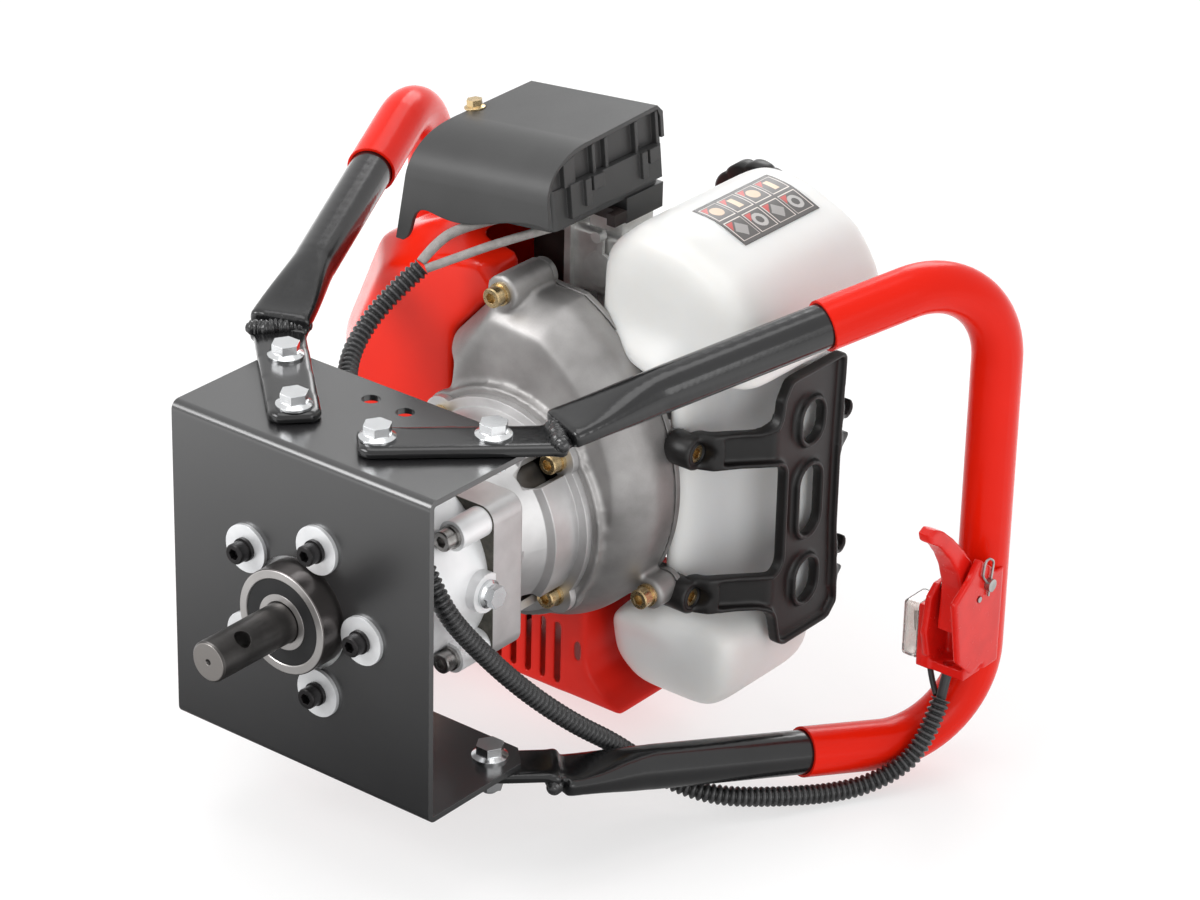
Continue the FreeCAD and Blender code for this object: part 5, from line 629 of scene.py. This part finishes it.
class HEAD_OT_tube(bpy.types.Operator):
    """Corrugated tube from the throttle to the engine"""
    bl_idname = "head.tube"
    bl_label = "Corrugated tube"

    def execute(self, context):
        """The radius at a distance s along the line is R - g * (1 - |cos(pi * s / p)|): round ribs
        a pitch p apart with grooves g deep between them."""
        sizes = context.scene.head_sizes
        around = 18
        line, places = even(spline_line(TUBE_ROUTE), sizes.rib / 8)
        wave = np.abs(np.cos(np.pi * places / sizes.rib))
        grid = tube_grid(line, sizes.tube / 2 - sizes.groove * (1 - wave), around, (0.55, 0.35, -0.75))
        # Extruded and blown black polyethylene, handled: shinier ribs, with painted shade that darkens the grooves.
        coat = finish("polyethylene_corrugated_black", "#333334", "#424243", 0.28, 0.06, patch=15, grain=0.6,
                      relief=0.01, edge=0)
        tree = coat["tree"]
        along = add(tree, "SeparateXYZ", {0: add(tree, "UVMap", uv_map="wrap").outputs[0]}).outputs[1]
        turn = add(tree, "Math", {0: along, 1: math.pi}, operation="MULTIPLY").outputs[0]
        crest = add(tree, "Math", {0: add(tree, "Math", {0: turn}, operation="COSINE").outputs[0]},
                    operation="ABSOLUTE").outputs[0]
        # Painted shade: near black in the grooves between the ribs, the plain colour on their crests.
        shade = add(tree, "Mix", {0: crest, 6: tone("#060606"), 7: coat["colour"]}, data_type="RGBA").outputs[2]
        tree.links.new(shade, coat["shader"].inputs["Base Color"])
        piece = skin("corrugated_tube", grid, coat["material"], uv=(1 / around, places[1] / sizes.rib))
        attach(piece, "frame")
        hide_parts("throttle_conduit")
        return {"FINISHED"}


class HEAD_OT_sleeves(bpy.types.Operator):
    """Braided sleeves and short leads at both ends of the tube"""
    bl_idname = "head.sleeves"
    bl_label = "Sleeves and leads"

    def execute(self, context):
        sizes = context.scene.head_sizes
        # Braided glass sleeve, varnished: two sets of strands cross at 45 degrees round the wire.
        coat = finish("glass_braid_varnished_grey", "#C9C4C1", "#A8A3A0", 0.45, 0.08, patch=3, grain=0.3,
                      relief=0.01)
        tree = coat["tree"]
        wrap = add(tree, "UVMap", uv_map="wrap").outputs[0]
        strands = [add(tree, "TexWave", {"Vector": add(tree, "Mapping", {"Vector": wrap, "Rotation": (0, 0, turn)}
                                                       ).outputs[0], "Scale": 2.2}).outputs["Fac"]
                   for turn in (0.785, -0.785)]
        weave = add(tree, "Math", {0: strands[0], 1: strands[1]}, operation="MAXIMUM").outputs[0]
        bump = add(tree, "Bump", {"Height": weave, "Distance": 0.12 * MM})
        tree.links.new(bump.outputs["Normal"], coat["shader"].inputs["Normal"])
        shade = add(tree, "Mix", {0: weave, 6: tone("#8B8683"), 7: coat["colour"]}, data_type="RGBA").outputs[2]
        tree.links.new(shade, coat["shader"].inputs["Base Color"])
        for number, (route, share) in enumerate(zip(SLEEVE_ROUTES, (1, 0.88))):
            diameter = sizes.sleeve * share
            line, places = even(spline_line(route), 0.5 * MM)
            grid = tube_grid(line, diameter / 2, 20, (0.9, -0.3, -0.3))
            piece = skin("braided_sleeve_%d" % (number + 1), grid, coat["material"], uv=(0.25, 0.5))
            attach(piece, "frame")
            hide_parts("control_wires")
        # Short leads into the throttle: extruded black vinyl.
        coat = finish("vinyl_extruded_black", "#1E1E1F", "#282829", 0.4, 0.05, patch=10, relief=0.006, edge=0.1)
        for number, (route, wide) in enumerate(zip(STUB_ROUTES, (5 * MM, 3 * MM))):
            line = even(spline_line(route), 0.5 * MM)[0]
            piece = skin("short_lead_%d" % (number + 1), tube_grid(line, wide / 2, 16, (0.9, -0.3, 0.1)),
                         coat["material"])
            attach(piece, "frame")
            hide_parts("control_wires")
        return {"FINISHED"}


class HEAD_OT_rope(bpy.types.Operator):
    """Starter rope between its eye and the pull handle"""
    bl_idname = "head.rope"
    bl_label = "Starter rope"

    def execute(self, context):
        """A straight round bar of many rings, from the housing up to the handle."""
        # Braided polyamide, black: dull, with a fine weave.
        coat = finish("polyamide_braid_black", "#1D1D1E", "#2B2B2C", 0.6, 0.06, patch=4, grain=0.5, relief=0.05,
                      edge=0)
        low, high = np.array([-28.0, 286.0, 44.0]) * MM, np.array([-28.0, 286.0, 66.0]) * MM
        radius, rings, around = 1.8 * MM, 45, 16
        line = low + np.linspace(0, 1, rings)[:, None] * (high - low)
        piece = skin("starter_rope", tube_grid(line, radius, around, (1.0, 0.0, 0.0)), coat["material"])
        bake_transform(piece)
        return {"FINISHED"}


class HEAD_OT_welds(bpy.types.Operator):
    """Weld beads between the flat bars and the tubes' flattened ends"""
    bl_idname = "head.welds"
    bl_label = "Welds"

    def execute(self, context):
        """A bead's radius at share u of its length and turn t is b * sqrt(1 - (2u - 1) ** 8) *
        (0.8 + 0.2 * |cos(pi * n * u + 0.7 * cos t)|), and its line wanders by a small noise of u."""
        sizes = context.scene.head_sizes
        coat = finish("weld_bead_enamelled_black", "#1A1A1B", "#262627", 0.26, 0.08, patch=5, grain=0.8,
                      relief=0.06, edge=0.2, Coat_Weight=0.2, Coat_Roughness=0.1)
        share = np.linspace(0, 1, 121)
        turn = np.linspace(0, 2 * np.pi, 20, endpoint=False)
        swell = np.sqrt(np.clip(1 - (2 * share - 1) ** 8, 0.02, 1))[:, None]
        wave = np.abs(np.cos(np.pi * sizes.ripples * share[:, None] + 0.7 * np.cos(turn)[None, :]))
        radius = sizes.bead * swell * (0.8 + 0.2 * wave)
        length, back, sunk = 32, 0.8, 1.4
        for number, (side, up) in enumerate(((1, 1), (1, -1), (-1, 1), (-1, -1))):
            weld = np.array([side * WELD[0], WELD[1], up * WELD[2]])
            run = weld[:2] - np.array([side * INNER_BOLT[0], INNER_BOLT[1]])
            run /= np.linalg.norm(run)
            across = np.array([run[1], -run[0], 0.0])
            wander = 0.5 * np.sin(9 * share + number) + 0.35 * np.sin(23 * share + 2 * number)
            centre = weld + np.array([*(run * -back), -up * sunk])
            line = centre + (length * (share - 0.5))[:, None] * across + wander[:, None] * np.array([*run, 0.0])
            piece = skin("weld_bead_%d" % (number + 1), tube_grid(line * MM, radius, len(turn), (0.0, 0.0, 1.0)),
                         coat["material"])
            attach(piece, "frame")
        return {"FINISHED"}


class HEAD_OT_panel(bpy.types.Operator):
    """Printed film on the tank, with plain tiles"""
    bl_idname = "head.panel"
    bl_label = "Tank panel"

    def execute(self, context):
        """The film lies 0.12 mm over the tank's own height. Its print is one colour per point, from the point's two
        distances to the middle of its tile: a pale frame where the larger one is just under the tile's half width,
        a red corner inside it where the two add up to less than -6.2, and in the middle a disc, ring, bar or
        diamond, by the tile's number."""
        x, y = np.meshgrid(np.linspace(0.0525, 0.0845, 124), np.linspace(0.2325, 0.2915, 236))
        z = height_over(bpy.data.objects["fuel_tank_soft"].data, x, y)
        z[z < 0] = z[z > 0].mean()
        over, under = 0.12 * MM, 0.3 * MM
        top = np.stack([x, y, z + over], axis=-1)
        low = np.stack([x, y, z - under], axis=-1)[:, ::-1]
        u, v = (x - x.min()) * 1000, (y - y.min()) * 1000
        rim, wide, tall, columns, rows = 1, 15, 14.25, 2, 4
        du, dv = (u - rim) % wide - wide / 2, (v - rim) % tall - tall / 2
        tile = (np.floor((u - rim) / wide) + columns * np.floor((v - rim) / tall)).astype(int)
        reach = np.maximum(np.abs(du), np.abs(dv))
        ground = tone("#3A3634")
        edge = (u < rim) | (u > rim + columns * wide) | (v < rim) | (v > rim + rows * tall)
        colour = np.empty(x.shape + (4,))
        colour[:] = ground
        colour[(reach < 6.4) & (reach > 5.95)] = tone("#D9CFC8")
        colour[(reach < 5.5) & (du + dv < -6.2)] = tone("#B5302A")
        far = np.hypot(du, dv)
        shapes = (far < 3.7, (far < 4.2) & (far > 2.2), (np.abs(du) < 4) & (np.abs(dv) < 1.8),
                  np.abs(du) + np.abs(dv) < 4.6)
        tints = ("#C9A98D", "#A8A5A3", "#D3B79B", "#8F8C8A")
        for kind, (shape, tint) in enumerate(zip(shapes, tints)):
            colour[shape & ((tile * 3) % 4 == kind)] = tone(tint)
        colour[edge] = ground
        # Vinyl film, printed and laminated: flat ink under a soft gloss.
        coat = finish("vinyl_film_printed", "#FFFFFF", "#F0F0F0", 0.35, 0.04, patch=15, grain=1.5, relief=0.004,
                      edge=0.1)
        ink = add(coat["tree"], "Attribute", attribute_name="ink").outputs["Color"]
        coat["tree"].links.new(ink, coat["shader"].inputs["Base Color"])
        piece = skin("tank_panel", np.concatenate([top, low], axis=1), coat["material"])
        inks = np.vstack([np.concatenate([colour, colour[:, ::-1]], axis=1).reshape(-1, 4), colour[[0, -1], 0]])
        piece.data.color_attributes.new("ink", "FLOAT_COLOR", "POINT").data.foreach_set("color", inks.ravel())
        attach(piece, "frame")
        return {"FINISHED"}


class HEAD_OT_stage(bpy.types.Operator):
    """Pale floor, soft studio light and the photograph's camera"""
    bl_idname = "head.stage"
    bl_label = "Stage"

    def execute(self, context):
        scene = context.scene
        scene.view_settings.view_transform = "Standard"
        self.floor(scene)
        self.sky(scene)
        self.lamps(scene)
        self.camera(scene)
        return {"FINISHED"}

    def seen(self, tree):
        """One for camera, glossy and transmission rays, and nothing for the others."""
        path = add(tree, "LightPath")
        both = add(tree, "Math", {0: path.outputs["Is Camera Ray"], 1: path.outputs["Is Glossy Ray"]},
                   operation="MAXIMUM").outputs[0]
        return add(tree, "Math", {0: both, 1: path.outputs["Is Transmission Ray"]}, operation="MAXIMUM").outputs[0]

    def floor(self, scene):
        """A flat sheet that runs into the white sky. Camera and diffuse rays see an even glow and a matt share, which
        come to white together. In reflections both grow from nothing under the object to full further out: painted
        shade under the object, seen in what its lower faces reflect."""
        low = CAD_BOX[0][2] - 0.5 * MM
        half, near, far = 6.0, 0.12, 0.6
        glowing, matt_share = 0.6, 0.4
        mesh = bpy.data.meshes.new("floor")
        mesh.from_pydata([(-half, -half, low), (half, -half, low), (half, half, low), (-half, half, low)], [],
                         [(0, 1, 2, 3)])
        made = bpy.data.materials.new("floor_matt_white")
        made.use_nodes = True
        tree = made.node_tree
        tree.nodes.remove(tree.nodes["Principled BSDF"])
        where = add(tree, "TexCoord").outputs["Object"]
        reach = add(tree, "VectorMath", {0: where}, operation="LENGTH").outputs["Value"]
        # Painted shade in reflections: the floor reflects dark near the object's middle and full white 0.6 m out.
        glow = add(tree, "MapRange", {"Value": reach, "From Min": near, "From Max": far}).outputs["Result"]
        mirrored = add(tree, "LightPath").outputs["Is Glossy Ray"]
        shown = add(tree, "MapRange", {"Value": mirrored, "To Min": glowing, "To Max": glow}).outputs["Result"]
        light = add(tree, "Emission", {"Color": (1, 1, 1, 1), "Strength": shown})
        under = add(tree, "MapRange", {"Value": mirrored, "To Min": 1.0, "To Max": glow}).outputs["Result"]
        lit = add(tree, "Math", {0: under, 1: matt_share}, operation="MULTIPLY").outputs[0]
        matt = add(tree, "BsdfDiffuse", {"Color": lit})
        both = add(tree, "AddShader", {0: light.outputs[0], 1: matt.outputs[0]})
        tree.links.new(both.outputs[0], tree.nodes["Material Output"].inputs["Surface"])
        mesh.materials.append(made)
        sheet = bpy.data.objects.new("floor", mesh)
        scene.collection.objects.link(sheet)

    def sky(self, scene):
        """White where it is seen, dimmer as a light."""
        dim, white = 0.7, 1.0
        scene.world = bpy.data.worlds.new("studio")
        scene.world.use_nodes = True
        tree = scene.world.node_tree
        level = add(tree, "MapRange", {"Value": self.seen(tree), "To Min": dim, "To Max": white}).outputs["Result"]
        tree.nodes["Background"].inputs["Color"].default_value = (1, 1, 1, 1)
        tree.links.new(level, tree.nodes["Background"].inputs["Strength"])

    def lamps(self, scene):
        """Soft boxes round the object, each aimed at its middle."""
        aim = Vector((0.02, 0.15, 0.0))
        for name, place, size, power in (
                ("key", (-0.85, -1.3, 1.05), 0.9, 22.0),
                ("top", (-0.1, 0.1, 1.9), 1.3, 10.0),
                ("right", (1.7, -0.3, 0.5), 0.9, 7.0),
                ("rim", (-0.6, 1.6, 1.0), 0.8, 9.0)):
            lamp = bpy.data.lights.new(name, "AREA")
            lamp.energy = power
            lamp.size = size
            holder = bpy.data.objects.new(name, lamp)
            holder.location = place
            holder.rotation_euler = (Vector(place) - aim).to_track_quat("Z", "Y").to_euler()
            scene.collection.objects.link(holder)

    def camera(self, scene):
        """The view from azimuth a and elevation e: back is (sin a cos e, -cos a cos e, sin e), right is
        (cos a, sin a, 0), up is back x right, and both turn by the roll. From the shaft's line at the bracket's face
        the camera stands 1.992 m off along back, and a little aside and above."""
        azimuth, elevation, roll = np.radians([37.9545, 26.7477, 1.3848])
        back = np.array([math.sin(azimuth) * math.cos(elevation), -math.cos(azimuth) * math.cos(elevation),
                         math.sin(elevation)])
        level = np.array([math.cos(azimuth), math.sin(azimuth), 0.0])
        up = np.cross(back, level)
        right = level * math.cos(roll) + up * math.sin(roll)
        up = up * math.cos(roll) - level * math.sin(roll)
        aside, above, off = 0.137739, 0.0745201, 1.992282
        face = np.array([0, 0.0125, 0])
        place = right * aside + up * above + back * off + face
        lens = bpy.data.cameras.new("photograph")
        lens.lens = scene.head_sizes.lens
        lens.sensor_width = 36
        lens.sensor_fit = "HORIZONTAL"
        lens.clip_end = 50
        camera = bpy.data.objects.new("photograph", lens)
        turn = Matrix([right, up, back]).transposed()
        camera.matrix_world = Matrix.Translation(place) @ turn.to_4x4()
        scene.collection.objects.link(camera)
        scene.camera = camera


class HEAD_PT_panel(bpy.types.Panel):
    """Everything that dresses the power head"""
    bl_label = "Power head"
    bl_idname = "HEAD_PT_panel"
    bl_space_type = "VIEW_3D"
    bl_region_type = "UI"
    bl_category = "Power head"

    def draw(self, context):
        column = self.layout.column()
        for step in STEPS:
            column.operator(step.bl_idname)
        for group in (context.scene.head_sizes, context.scene.head_colours):
            for name in group.bl_rna.properties.keys():
                if name not in ("rna_type", "name"):
                    column.prop(group, name)


STEPS = (HEAD_OT_stage, HEAD_OT_tube, HEAD_OT_sleeves, HEAD_OT_black_steel, HEAD_OT_castings, HEAD_OT_shaft_line,
         HEAD_OT_fasteners, HEAD_OT_mouldings, HEAD_OT_tank, HEAD_OT_rope, HEAD_OT_welds, HEAD_OT_panel)
CLASSES = (HeadSizes, HeadColours) + STEPS + (HEAD_PT_panel,)


def register():
    for item in CLASSES:
        bpy.utils.register_class(item)
    bpy.types.Scene.head_sizes = PointerProperty(type=HeadSizes)
    bpy.types.Scene.head_colours = PointerProperty(type=HeadColours)


def unregister():
    del bpy.types.Scene.head_colours
    del bpy.types.Scene.head_sizes
    for item in reversed(CLASSES):
        bpy.utils.unregister_class(item)


def main():
    register()
    for step in STEPS:
        group, name = step.bl_idname.split(".")
        getattr(getattr(bpy.ops, group), name)()


if __name__ == "__main__":
    main()
